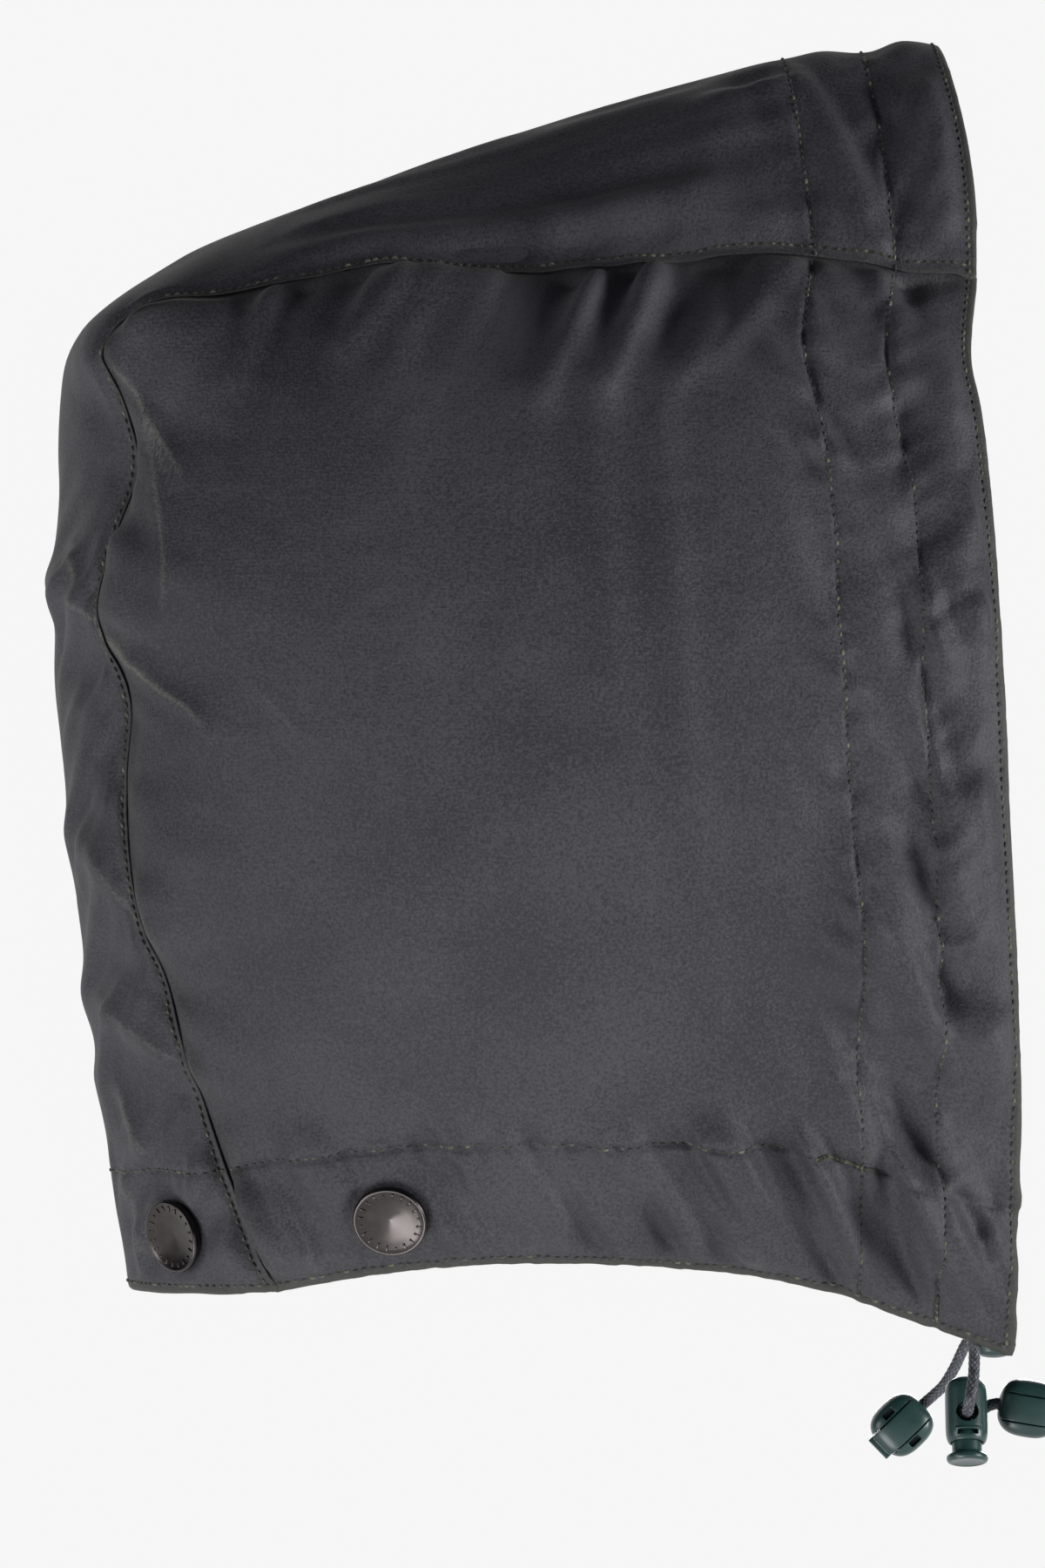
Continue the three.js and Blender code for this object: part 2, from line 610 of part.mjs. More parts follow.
// Press studs: the place of each on the outer face, and the frame that stands on it
const studRowV = STUD_RISE / face.length;
const studs = [
  { name: 'side_right', side: -1 },
  { name: 'side_left', side: 1 },
  { name: 'nape_right', across: -NAPE_STUD_PLACE },
  { name: 'nape_left', across: NAPE_STUD_PLACE },
];
for (const stud of studs) {
  if (stud.across) {
    const share = backShare(STUD_RISE / backRun.length);
    stud.point = crownPoint(share, stud.across);
    stud.normal = normalAt((a, b) => crownPoint(clamp(a, 0, 1), b), share, stud.across);
  } else {
    const surface = (a, b) => sidePoint(clamp(a, 0, 1), clamp(b, 0, 1), stud.side);
    stud.point = surface(SIDE_STUD_PLACE, studRowV);
    stud.normal = normalAt(surface, SIDE_STUD_PLACE, studRowV);
  }
}

// Highest or lowest place of a cloth within a radius of a stud, measured along the stud's normal by rays
// that start a stud's width away from it
function clothLevel(geometry, stud, radius, outer) {
  const away = CAP_DIAMETER / 2;
  const probe = new THREE.Mesh(geometry, new THREE.MeshBasicMaterial({ side: THREE.DoubleSide }));
  const turn = new THREE.Quaternion().setFromUnitVectors(new THREE.Vector3(0, 0, 1), stud.normal);
  const levels = [];
  for (const share of [0, 0.5, 1]) {
    for (let k = 0; k < 16; k += 1) {
      const angle = k * Math.PI / 8;
      const aside = new THREE.Vector3(Math.cos(angle), Math.sin(angle), 0).multiplyScalar(radius * share);
      const start = aside.applyQuaternion(turn).add(stud.point);
      start.addScaledVector(stud.normal, outer ? away : -away);
      const direction = stud.normal.clone().multiplyScalar(outer ? -1 : 1);
      const hit = new THREE.Raycaster(start, direction).intersectObject(probe)[0];
      if (hit) {
        levels.push(outer ? away - hit.distance : hit.distance - away);
      }
    }
  }
  return outer ? Math.max(...levels) : Math.min(...levels);
}

const CAP_SIDES = 14;
function capGeometry(postLength) {
  const radius = CAP_DIAMETER / 2;
  return closedTurned([
    [0, CAP_HEIGHT * 0.72],
    [radius * 0.74, CAP_HEIGHT * 0.7],
    [radius * 0.88, CAP_HEIGHT],
    [radius * 0.97, CAP_HEIGHT * 0.75],
    [radius, CAP_HEIGHT * 0.35],
    [radius * 0.95, 0],
    [POST_DIAMETER / 2, 0],
    [POST_DIAMETER / 2, -postLength],
    [0, -postLength],
  ], CAP_SIDES);
}

function socketGeometry() {
  const bore = POST_DIAMETER / 2 + PIECE_GAP;
  const mouth = SOCKET_MOUTH_DIAMETER / 2;
  return closedTurned([
    [bore, 0],
    [SOCKET_DIAMETER / 2, 0],
    [SOCKET_DIAMETER / 2, -SOCKET_HEIGHT],
    [mouth, -SOCKET_HEIGHT],
    [mouth, -SOCKET_HEIGHT + SOCKET_MOUTH_DEPTH],
    [bore, -SOCKET_HEIGHT + SOCKET_MOUTH_DEPTH],
    [bore, 0],
  ], CAP_SIDES);
}

const panels = {
  side_panel_right: sidePanel(-1),
  side_panel_left: sidePanel(1),
  crown_panel: crownPanel(),
  neck_facing: neckFacing(),
};
const studHoles = [];
for (const stud of studs) {
  const outerCloth = stud.across ? panels.crown_panel : panels[`side_panel_${stud.name.split('_')[1]}`];
  const capLevel = clothLevel(outerCloth, stud, CAP_DIAMETER / 2, true) + PIECE_GAP;
  const socketLevel = clothLevel(panels.neck_facing, stud, SOCKET_DIAMETER / 2, false) - PIECE_GAP;
  const frame = new THREE.Group();
  frame.position.copy(stud.point);
  frame.quaternion.setFromUnitVectors(new THREE.Vector3(0, 0, 1), stud.normal);
  hood.add(frame);
  const postLength = capLevel - socketLevel + SOCKET_HEIGHT - SOCKET_MOUTH_DEPTH;
  const cap = addPiece(frame, `stud_cap_${stud.name}`, capGeometry(postLength), METAL_COLOUR, 0.35, 0.9);
  cap.position.z = capLevel;
  const socket = addPiece(frame, `stud_socket_${stud.name}`, socketGeometry(), METAL_COLOUR, 0.4, 0.9);
  socket.position.z = socketLevel;
  const hole = rod(POST_DIAMETER / 2 + PIECE_GAP, 2 * CAP_DIAMETER, CAP_SIDES);
  hole.applyQuaternion(frame.quaternion).translate(stud.point.x, stud.point.y, stud.point.z);
  studHoles.push(hole);
}
for (const name of Object.keys(panels)) {
  addPiece(hood, name, cut(panels[name], studHoles), CLOTH_COLOUR, 0.85, 0);
}
addPiece(hood, 'face_facing', faceFacing(), CLOTH_COLOUR, 0.85, 0);

// Drawcord ends, eight-sided tubes along their routes
function cordGeometry(route) {
  const path = new THREE.CatmullRomCurve3(route.map((point) => new THREE.Vector3(...point)));
  const section = new THREE.Shape();
  const sides = 8;
  for (let k = 0; k < sides; k += 1) {
    const angle = k * 2 * Math.PI / sides;
    const x = CORD_DIAMETER / 2 * Math.cos(angle);
    const y = CORD_DIAMETER / 2 * Math.sin(angle);
    if (k === 0) {
      section.moveTo(x, y);
    } else {
      section.lineTo(x, y);
    }
  }
  section.closePath();
  return new THREE.ExtrudeGeometry(section, { steps: route.length, bevelEnabled: false, extrudePath: path });
}
addPiece(hood, 'drawcord_right', cordGeometry(CORD_ROUTE_RIGHT), CORD_COLOUR, 0.8, 0);
addPiece(hood, 'drawcord_left', cordGeometry(CORD_ROUTE_LEFT), CORD_COLOUR, 0.8, 0);

// Cord lock: a barrel with a domed closed top, and a sprung plunger with a button below it. Its own Z
// axis is the barrel's, with the cord hole along Y at height 0.
const LOCK_SIDES = 12;
const lockTop = LOCK_HOLE_FROM_TOP;
const lockBottom = LOCK_HOLE_FROM_TOP - LOCK_LENGTH;
const boreRadius = LOCK_DIAMETER / 2 - LOCK_WALL;
function barrelGeometry() {
  const radius = LOCK_DIAMETER / 2;
  const body = closedTurned([
    [0, lockTop],
    [radius * 0.62, lockTop - 0.35],
    [radius * 0.9, lockTop - 1.5],
    [radius, lockTop - 3.4],
    [radius, lockBottom + 2.4],
    [radius * 0.93, lockBottom],
    [boreRadius, lockBottom],
    [boreRadius, lockTop - 2 * LOCK_WALL],
    [0, lockTop - 2 * LOCK_WALL],
  ], LOCK_SIDES);
  const cordHole = rod(LOCK_HOLE_DIAMETER / 2, LOCK_DIAMETER * 2, 14).rotateX(Math.PI / 2);
  const slot = new THREE.BoxGeometry(LOCK_SLOT_WIDTH, LOCK_DIAMETER / 2, LOCK_SLOT_HEIGHT);
  slot.translate(0, -LOCK_DIAMETER / 2, lockBottom + LOCK_SLOT_RISE);
  return cut(body, [cordHole, slot]);
}

function plungerGeometry() {
  const radius = boreRadius - PIECE_GAP;
  const slotHalfWidth = CORD_DIAMETER / 2 + 2 * PIECE_GAP;
  const slotTop = slotHalfWidth;
  const slotBottom = -slotHalfWidth - PLUNGER_TRAVEL;
  const buttonTop = lockBottom - PLUNGER_NECK;
  const buttonRadius = BUTTON_DIAMETER / 2;
  const body = closedTurned([
    [0, slotTop + PLUNGER_CROWN],
    [radius, slotTop + PLUNGER_CROWN],
    [radius, buttonTop],
    [buttonRadius, buttonTop - 0.5],
    [buttonRadius, buttonTop - BUTTON_HEIGHT + 0.6],
    [buttonRadius * 0.88, buttonTop - BUTTON_HEIGHT],
    [buttonRadius * 0.7, buttonTop - BUTTON_HEIGHT + 0.3],
    [0, buttonTop - BUTTON_HEIGHT + 0.5],
  ], LOCK_SIDES);
  const slot = new THREE.BoxGeometry(2 * slotHalfWidth, LOCK_DIAMETER * 2, slotTop - slotBottom);
  slot.translate(0, 0, (slotTop + slotBottom) / 2);
  return cut(body, [slot]);
}

function addLock(side, place, tilt) {
  const frame = new THREE.Group();
  frame.position.set(...place);
  frame.rotation.x = THREE.MathUtils.degToRad(tilt);
  hood.add(frame);
  addPiece(frame, `lock_barrel_${side}`, barrelGeometry(), PLASTIC_COLOUR, 0.35, 0);
  addPiece(frame, `lock_plunger_${side}`, plungerGeometry(), PLASTIC_COLOUR, 0.35, 0);
}
addLock('right', LOCK_PLACE_RIGHT, -LOCK_TILT);
addLock('left', LOCK_PLACE_LEFT, 180);

// Cord end: two rounded lobes with a clip saddled between them. Its own X axis is the cord's, which
// enters at the low end, and the clip shows on the Z faces.
const boredRadius = CORD_DIAMETER / 2 + PIECE_GAP;
const endHalf = CORD_END_LENGTH / 2;
const clipEnd = CLIP_THICKNESS + CLIP_PROUD + PIECE_GAP;
function lobes(grow) {
  const bead = new THREE.SphereGeometry(1, 14, 8);
  bead.scale(endHalf + grow, CORD_END_WIDTH / 2 + grow, CORD_END_THICKNESS / 2 + grow);
  return bead;
}
const cordBore = () => rod(boredRadius, endHalf, 12).rotateY(Math.PI / 2).translate(-endHalf * 0.95, 0, 0);

function cordEndBody() {
  const coreHeight = CORD_END_THICKNESS - 2 * CLIP_THICKNESS;
  const channel = new THREE.BoxGeometry(CORD_END_LENGTH * 2, CLIP_WIDTH, CORD_END_THICKNESS);
  const above = channel.clone().translate(0, 0, coreHeight / 2 + CORD_END_THICKNESS / 2);
  const below = channel.clone().translate(0, 0, -coreHeight / 2 - CORD_END_THICKNESS / 2);
  const front = new THREE.BoxGeometry(CORD_END_LENGTH, CLIP_WIDTH, CORD_END_THICKNESS * 2);
  front.translate(endHalf - clipEnd + CORD_END_LENGTH / 2, 0, 0);
  return cut(lobes(0), [above, below, front, cordBore()]);
}

function cordEndClip() {
  const width = CLIP_WIDTH - 2 * PIECE_GAP;
  const coreHeight = CORD_END_THICKNESS - 2 * CLIP_THICKNESS + 2 * PIECE_GAP;
  const band = new THREE.BoxGeometry(CORD_END_LENGTH * 2, width, CORD_END_THICKNESS * 2);
  const core = new THREE.BoxGeometry(CORD_END_LENGTH * 2, CLIP_WIDTH, coreHeight);
  core.translate(endHalf - clipEnd + PIECE_GAP - CORD_END_LENGTH, 0, 0);
  const lip = new THREE.BoxGeometry(LIP_LENGTH, width, CORD_END_THICKNESS / 2);
  lip.translate(endHalf, 0, 0);
  const saddle = solidOf(lobes(CLIP_PROUD)).intersect(solidOf(band));
  const shaped = geometryOf(saddle.add(solidOf(lip)).subtract(solidOf(core)));
  const slots = [];
  for (const across of [-1, 1]) {
    const slot = new THREE.BoxGeometry(CLIP_SLOT_LENGTH, CLIP_SLOT_WIDTH, CORD_END_THICKNESS * 2);
    slots.push(slot.translate(0, across * (width / 2 - CLIP_SLOT_WIDTH), 0));
  }
  return cut(shaped, slots);
}

function addCordEnd(side, place, along) {
  const frame = new THREE.Group();
  const x = new THREE.Vector3(...along).normalize();
  const z = new THREE.Vector3(0, -1, 0);
  frame.position.set(...place);
  frame.quaternion.setFromRotationMatrix(new THREE.Matrix4().makeBasis(x, z.clone().cross(x), z));
  hood.add(frame);
  addPiece(frame, `cord_end_body_${side}`, cordEndBody(), PLASTIC_COLOUR, 0.35, 0);
  addPiece(frame, `cord_end_clip_${side}`, cordEndClip(), PLASTIC_COLOUR, 0.35, 0);
}
addCordEnd('right', CORD_END_PLACE_RIGHT, CORD_END_ALONG_RIGHT);
addCordEnd('left', CORD_END_PLACE_LEFT, CORD_END_ALONG_LEFT);

export default hood;
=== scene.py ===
import math

import bpy
import numpy as np
from bpy.props import FloatProperty, FloatVectorProperty, PointerProperty
from mathutils import Matrix, Vector


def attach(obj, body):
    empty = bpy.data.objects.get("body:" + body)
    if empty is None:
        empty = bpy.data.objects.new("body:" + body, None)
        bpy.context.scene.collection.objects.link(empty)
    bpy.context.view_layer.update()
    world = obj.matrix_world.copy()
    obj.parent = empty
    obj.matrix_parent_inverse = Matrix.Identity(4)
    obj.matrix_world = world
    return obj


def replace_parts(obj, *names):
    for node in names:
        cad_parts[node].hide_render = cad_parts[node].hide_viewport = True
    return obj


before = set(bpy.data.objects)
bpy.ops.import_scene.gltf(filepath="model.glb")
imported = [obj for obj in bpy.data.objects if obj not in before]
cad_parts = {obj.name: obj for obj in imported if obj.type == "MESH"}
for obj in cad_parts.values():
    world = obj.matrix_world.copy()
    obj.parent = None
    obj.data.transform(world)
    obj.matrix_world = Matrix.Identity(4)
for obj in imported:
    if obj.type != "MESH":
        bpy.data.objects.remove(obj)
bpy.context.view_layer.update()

bl_info = {
    "name": "Detachable hood",
    "version": (1, 0, 0),
    "blender": (4, 5, 0),
    "location": "3D View > Sidebar > Hood",
    "description": "Builds a waxed cotton hood with press studs, a drawcord and cord locks",
    "category": "Object",
}

MM = 0.001
# Sewing, in millimetres: the crown's width from its middle to a seam, stitches in from an edge and up
# from the hem, the turned edge that a sheet's points leave out, and how far inside it a facing starts
CROWN_ARC = 62.0
EDGE_STITCH = 1.7
HEM_STITCH = 1.9
TURNED_EDGE = 0.7
FACING_START = 4.9
# Moulded pieces, in millimetres: the barrel's top above its cord hole, and the grain of their remesh
LOCK_TOP = 10.0
VOXEL = 0.17


def linear(hex_colour):
    """An sRGB hex colour as linear red, green and blue."""
    parts = [int(hex_colour[k:k + 2], 16) / 255 for k in (1, 3, 5)]
    return tuple(c / 12.92 if c <= 0.04045 else ((c + 0.055) / 1.055) ** 2.4 for c in parts)


# Sections of the crown panel from the face edge to the nape, as shares of the hood's depth, height and
# half width
RIDGE_X, RIDGE_Z, SEAM_X, SEAM_Z, SEAM_OUT, SLOPE = range(6)
CROWN_SECTIONS = np.array([
    (0.934, 1.0, 0.962, 0.812, 0.52, 0.32),
    (0.895, 1.003, 0.921, 0.815, 0.525, 0.32),
    (0.853, 0.993, 0.879, 0.816, 0.53, 0.32),
    (0.769, 0.988, 0.796, 0.826, 0.53, 0.32),
    (0.681, 0.972, 0.703, 0.826, 0.53, 0.3),
    (0.498, 0.932, 0.534, 0.814, 0.53, 0.28),
    (0.315, 0.886, 0.363, 0.82, 0.525, 0.26),
    (0.228, 0.864, 0.275, 0.811, 0.515, 0.25),
    (0.157, 0.843, 0.197, 0.799, 0.5, 0.24),
    (0.106, 0.82, 0.134, 0.798, 0.485, 0.22),
    (0.064, 0.799, 0.092, 0.784, 0.47, 0.22),
    (0.037, 0.781, 0.074, 0.769, 0.465, 0.24),
    (0.019, 0.757, 0.071, 0.748, 0.465, 0.26),
    (0.012, 0.726, 0.09, 0.719, 0.465, 0.28),
    (0.01, 0.689, 0.1, 0.687, 0.47, 0.3),
    (0.011, 0.65, 0.092, 0.648, 0.47, 0.3),
    (0.004, 0.586, 0.064, 0.578, 0.475, 0.3),
    (0.003, 0.549, 0.074, 0.536, 0.48, 0.3),
    (0.006, 0.509, 0.091, 0.505, 0.485, 0.3),
    (0.018, 0.432, 0.09, 0.432, 0.49, 0.3),
    (0.028, 0.362, 0.098, 0.362, 0.5, 0.3),
    (0.041, 0.282, 0.132, 0.284, 0.51, 0.32),
    (0.064, 0.151, 0.187, 0.158, 0.535, 0.36),
    (0.084, 0.043, 0.243, 0.049, 0.525, 0.4),
])
# The hem and the face edge of a side panel, in the same shares
EDGE_X, EDGE_Z, EDGE_OUT = range(3)
HEM_LINE = np.array([
    (0.243, 0.049, 0.525), (0.335, 0.062, 0.6), (0.43, 0.07, 0.63), (0.525, 0.072, 0.625),
    (0.62, 0.07, 0.605), (0.715, 0.064, 0.585), (0.81, 0.05, 0.56), (0.905, 0.026, 0.525),
    (1.0, 0.0, 0.485),
])
FACE_LINE = np.array([
    (1.0, 0.0, 0.485), (1.002, 0.1, 0.59), (1.003, 0.2, 0.69), (0.997, 0.3, 0.77), (0.989, 0.4, 0.82),
    (0.982, 0.505, 0.84), (0.974, 0.605, 0.815), (0.963, 0.7, 0.745), (0.953, 0.752, 0.66),
    (0.962, 0.812, 0.52),
])
# Share of the seam at its corner, and the origin's place in the same shares of depth and height
CORNER_SHARE = 0.5
ORIGIN_FORWARD = 0.498
ORIGIN_UP = 0.0405
# Large folds that the solid model has too: from x, z, to x, z, as shares; lift and reach in millimetres
FOLDS = (
    (0.627, 0.81, 0.575, 0.735, 2.2, 6), (0.755, 0.8, 0.66, 0.75, 1.8, 7), (0.56, 0.805, 0.505, 0.725, 2, 6),
    (0.36, 0.81, 0.31, 0.765, 1.8, 7), (0.655, 0.8, 0.625, 0.765, -1.6, 6),
    (0.075, 0.745, 0.14, 0.665, 2.6, 6), (0.06, 0.715, 0.1, 0.66, -1.6, 7),
    (0.01, 0.585, 0.17, 0.47, 2.2, 6), (0.01, 0.55, 0.13, 0.45, -1.2, 8),
    (0.035, 0.39, 0.11, 0.315, 1.8, 7), (0.045, 0.27, 0.15, 0.22, 2.2, 7), (0.06, 0.205, 0.1, 0.155, 2, 6),
    (0.74, 0.27, 1.0, 0.155, -3, 14), (0.84, 0.3, 0.99, 0.235, 2.4, 12), (0.9, 0.64, 0.98, 0.54, 2, 9),
)
# Creases seen from the right side: a run of points as x, z, then lift and reach, all in millimetres, then
# the depth of the hollow on the right of its run and how worn the crease is, as shares
CREASES = (
    (((36, 270), (29, 253), (21, 233)), 1.6, 3.2, 0.5, 0),
    (((68, 268), (54, 251), (40, 238)), 1.5, 3.8, 0.4, 0),
    (((19, 269), (12, 249), (3, 229)), 1.4, 3.6, 0.5, 0),
    (((-31, 270), (-38, 258), (-48, 243)), 1.3, 4.2, 0.4, 0),
    (((41, 269), (38, 256), (33, 244)), -1.5, 2.8, 0, 0),
    (((59, 268), (54, 254), (47, 244)), -1.2, 3.0, 0, 0),
    (((-107, 245), (-103, 241), (-99, 235.6), (-96, 230), (-92.2, 222.6), (-87.3, 213.6)), 1.3, 1.8,
     0.4, 1.0),
    (((-96.7, 229.4), (-95.6, 222), (-94, 211.4), (-92.7, 200.8), (-91.5, 191.8), (-92.9, 177)), 0.9,
     3.0, 0.4, 0.55),
    (((-121.5, 185.9), (-117.6, 181.7), (-113.1, 177.2), (-108.6, 172.7), (-103.5, 167.9), (-99, 164.6),
     (-92.9, 159.2), (-86.1, 154.5), (-80.3, 148.4)), 1.4, 2.0, 0.5, 1.0),
    (((-119.2, 199), (-118.1, 184.5)), 0.9, 1.8, 0.4, 0.7),
    (((-69, 160), (-59, 150), (-52, 145)), 0.3, 2.0, 0.3, 0.25),
    (((-115, 120), (-105, 105), (-97, 94)), 1.2, 3.0, 0.5, 0.4),
    (((-113, 78), (-98, 67.6), (-86, 60)), 1.2, 2.8, 0.5, 0.35),
    (((-108.6, 55.5), (-104.5, 47), (-99, 37)), 1.5, 1.8, 0.6, 0.8),
    (((-106, 32), (-102.6, 21), (-99, 10)), 1.2, 2.0, 0.5, 0.5),
    (((60, 86), (89, 70), (129, 39)), -1.6, 7.0, 0, 0),
    (((104, 77), (116, 71), (126, 66)), 1.5, 4.0, 0.4, 0),
    (((102.5, 211), (99, 188), (96, 161)), -1.2, 3.0, 0, 0),
    (((109, 186), (116, 178), (124, 172)), 1.5, 4.4, 0.4, 0),
    (((106, 150), (114, 132), (122, 118)), 1.2, 4.4, 0.4, 0),
    (((88, 256), (98, 240), (112, 228)), 1.2, 3.6, 0.5, 0),
    (((84, 128), (92, 110), (97, 92)), 1.0, 4.0, 0.3, 0),
    (((-62, 28), (-55, 18), (-52, 8)), 1.1, 2.6, 0.4, 0.3),
    (((-38, 18), (-40, 12), (-40.5, 5)), -0.9, 1.3, 0, 0),
    (((-24, 14), (-18, 8)), 0.8, 1.6, 0.4, 0),
    (((-14, 30), (-12, 18), (-13, 8)), 1.2, 3.0, 0.4, 0),
    (((6, 32), (10, 20), (9, 9)), 1.2, 2.8, 0.4, 0),
    (((38, 32), (42, 20), (44, 8)), 1.1, 3.4, 0.4, 0),
)

# Routes of the free cord ends, the points of the solid model's cords, in metres
CORD_ROUTES = {
    "right": (
        (0.1175, -0.0461, -0.006), (0.1175, -0.0449, -0.009), (0.1177, -0.0444, -0.0125),
        (0.1176, -0.0452, -0.016), (0.1173, -0.0469, -0.0195), (0.1167, -0.0483, -0.0226),
        (0.1162, -0.0487, -0.0252), (0.1159, -0.0468, -0.0276), (0.1158, -0.0428, -0.0293),
        (0.1158, -0.0388, -0.0308), (0.116, -0.0352, -0.0318), (0.1176, -0.0329, -0.0314),
        (0.1199, -0.0323, -0.0296), (0.1223, -0.0332, -0.028), (0.1247, -0.034, -0.0274),
        (0.1284, -0.034, -0.028),
    ),
    "left": (
        (0.1175, 0.0461, -0.006), (0.1175, 0.0449, -0.009), (0.1178, 0.0436, -0.012),
        (0.1192, 0.0414, -0.0138), (0.1218, 0.0396, -0.0134), (0.1248, 0.0394, -0.012),
        (0.1272, 0.0384, -0.011), (0.1279, 0.0352, -0.0109), (0.1279, 0.0315, -0.0109),
        (0.1279, 0.0278, -0.0109), (0.1273, 0.0248, -0.0114), (0.125, 0.0236, -0.0126),
        (0.1222, 0.0246, -0.0142), (0.1203, 0.0266, -0.0166), (0.1189, 0.0286, -0.0198),
        (0.1173, 0.0304, -0.0236), (0.1146, 0.0324, -0.0284), (0.112, 0.034, -0.0312),
        (0.1091, 0.035, -0.0339), (0.1064, 0.035, -0.0365),
    ),
}
LOCK_PLACES = {"right": ((115.8, -41.4, -29.8), -20), "left": ((127.9, 31.5, -10.9), 180)}
CORD_END_PLACES = {
    "right": ((132.6, -34.0, -28.7), (0.986, 0, -0.165)),
    "left": ((103.3, 35.0, -39.5), (-0.72, 0, -0.7)),
}


def length(name, description, default):
    """A length that the sidebar shows."""
    return FloatProperty(name=name, description=description, default=default, unit="LENGTH")


def tint(name, description, hex_colour):
    """A colour that the sidebar shows."""
    return FloatVectorProperty(name=name, description=description, subtype="COLOR",
                               default=linear(hex_colour))


class HoodSizes(bpy.types.PropertyGroup):
    depth: length("Depth", "Back of the hood to its face edge", 0.254)
    height: length("Height", "Lowest corner to the peak", 0.346)
    half_width: length("Half width", "Middle to the widest side", 0.095)
    side_fullness: length("Side fullness", "How far the sides swell out", 0.027)
    hem_roll: length("Hem roll", "How far the sides turn in at the hem", 0.007)
    face_bow: length("Face bow", "Forward bow of the peak's edge", 0.0024)
    cloth_wall: length("Cloth wall", "Thickness of one cloth", 0.0012)
    piece_gap: length("Gap", "Space between two cloths", 0.0003)
    seam_lap: length("Seam lap", "How far the crown laps the sides", 0.008)
    casing_width: length("Casing width", "Width of the face casing", 0.042)
    band_height: length("Hem band", "Height of the hem band", 0.033)
    cloth_step: length("Cloth step", "Spacing of the cloth's points", 0.0015)
    stitch_pitch: length("Stitch pitch", "Length of one stitch and its gap", 0.0024)
    thread_width: length("Thread", "Width of the sewing thread", 0.00078)
    stud_rise: length("Stud rise", "Stud centres above the hem", 0.0165)
    cap_diameter: length("Stud cap", "Diameter of a stud cap", 0.0195)
    cap_height: length("Cap height", "Height of a stud cap", 0.0026)
    cord_diameter: length("Cord", "Diameter of the drawcord", 0.003)
    lock_diameter: length("Lock", "Diameter of a cord lock's barrel", 0.011)
    lock_length: length("Lock length", "Length of a cord lock's barrel", 0.0175)
    end_length: length("Cord end length", "Length of a cord end", 0.016)
    end_width: length("Cord end width", "Width of a cord end", 0.015)
    end_thickness: length("Cord end thickness", "Thickness of a cord end", 0.0105)


class HoodColours(bpy.types.PropertyGroup):
    cloth: tint("Cloth", "Waxed cotton", "#4a494f")
    cloth_dark: tint("Cloth, dark", "Waxed cotton where the wax is thick", "#29282d")
    # Olive of rubbed edges, also used as painted shade below the crown's edge
    cloth_olive: tint("Cloth, olive", "Rubbed edges of the cloth", "#424238")
    thread: tint("Thread", "Sewing thread", "#1c1c15")
    # Painted glint colour for a few random stitches
    thread_painted_glint: tint("Thread, light", "Worn stitches", "#757560")
    metal: tint("Studs", "Plating of the studs", "#3a3736")
    plastic: tint("Plastic", "Locks and cord ends", "#1f3a38")
    # Dark strands, also used as painted shade between strands
    cord: tint("Cord", "Dark strands", "#1b1b22")
    cord_light: tint("Cord, light", "Light strands", "#7c818f")
    floor: tint("Floor", "Studio floor and backdrop", "#f6f6f6")


def mm(name):
    """A size of the hood in millimetres."""
    return getattr(bpy.context.scene.hood_sizes, name) / MM


def colour(name):
    """A colour of the hood, opaque."""
    return (*getattr(bpy.context.scene.hood_colours, name), 1.0)


# Shapes

def along(table, share, key):
    """One column of a table at a share of its rows, on a smooth curve through them."""
    place = np.clip(share, 0, 1) * (len(table) - 1)
    index = np.minimum(np.floor(place).astype(int), len(table) - 2)
    t = place - index
    a, b, c, d = (table[np.clip(index + k, 0, len(table) - 1), key] for k in (-1, 0, 1, 2))
    return b + 0.5 * t * (c - a + t * (2 * a - 5 * b + 4 * c - d + t * (3 * (b - c) + d - a)))


def unit(vectors):
    """Vectors of length 1."""
    return vectors / np.maximum(np.linalg.norm(vectors, axis=-1, keepdims=True), 1e-12)


def smooth(value):
    """A soft step from 0 to 1."""
    value = np.clip(value, 0, 1)
    return value * value * (3 - 2 * value)


def bell(value, middle, width):
    """A smooth hump of height 1 about a middle."""
    return np.exp(-((value - middle) / width) ** 2)


def edge_wear(edge):
    """How far a turned edge is rubbed, by the distance from it."""
    return bell(edge, 0, 1.4) + 0.15 * bell(edge, 0, 4)


def noise(points, size, seed):
    """Smooth noise from -1 to 1, with bumps about one size wide."""
    side = 32
    lattice = np.random.default_rng(seed).uniform(-1, 1, (side, side, side))
    place = np.asarray(points, float) / size + 1000 * side
    index = np.floor(place).astype(int)
    f = place - index
    f = f * f * f * (f * (f * 6 - 15) + 10)
    total = 0
    for corner in range(8):
        step = np.array([corner & 1, corner >> 1 & 1, corner >> 2 & 1])
        weight = np.prod(np.where(step, f, 1 - f), axis=-1)
        x, y, z = np.moveaxis((index + step) % side, -1, 0)
        total = total + weight * lattice[x, y, z]
    return total * 1.6


def flat_noise(a, b, size_a, size_b, seed):
    """Noise over two coordinates, with bumps of two different lengths."""
    a, b = np.broadcast_arrays(np.asarray(a, float), np.asarray(b, float))
    return noise(np.stack([a / size_a, b / size_b, np.full(a.shape, seed * 0.37)], -1), 1, seed)


def run_lengths(points):
    """The lengths along a line of points, from its start."""
    return np.concatenate([[0], np.cumsum(np.linalg.norm(np.diff(points, axis=0), axis=1))])


def follow(at, lengths, values):
    """Places or normals at some lengths along a line."""
    return np.stack([np.interp(at, lengths, values[:, k]) for k in range(3)], -1)


def even_pace(curve):
    """The lengths along a curve at evenly spaced shares."""
    return run_lengths(curve(np.linspace(0, 1, 241)))


def share_at(lengths, even_share):
    """A curve's own share for a share of its length."""
    return np.interp(np.clip(even_share, 0, 1) * lengths[-1], lengths, np.linspace(0, 1, len(lengths)))


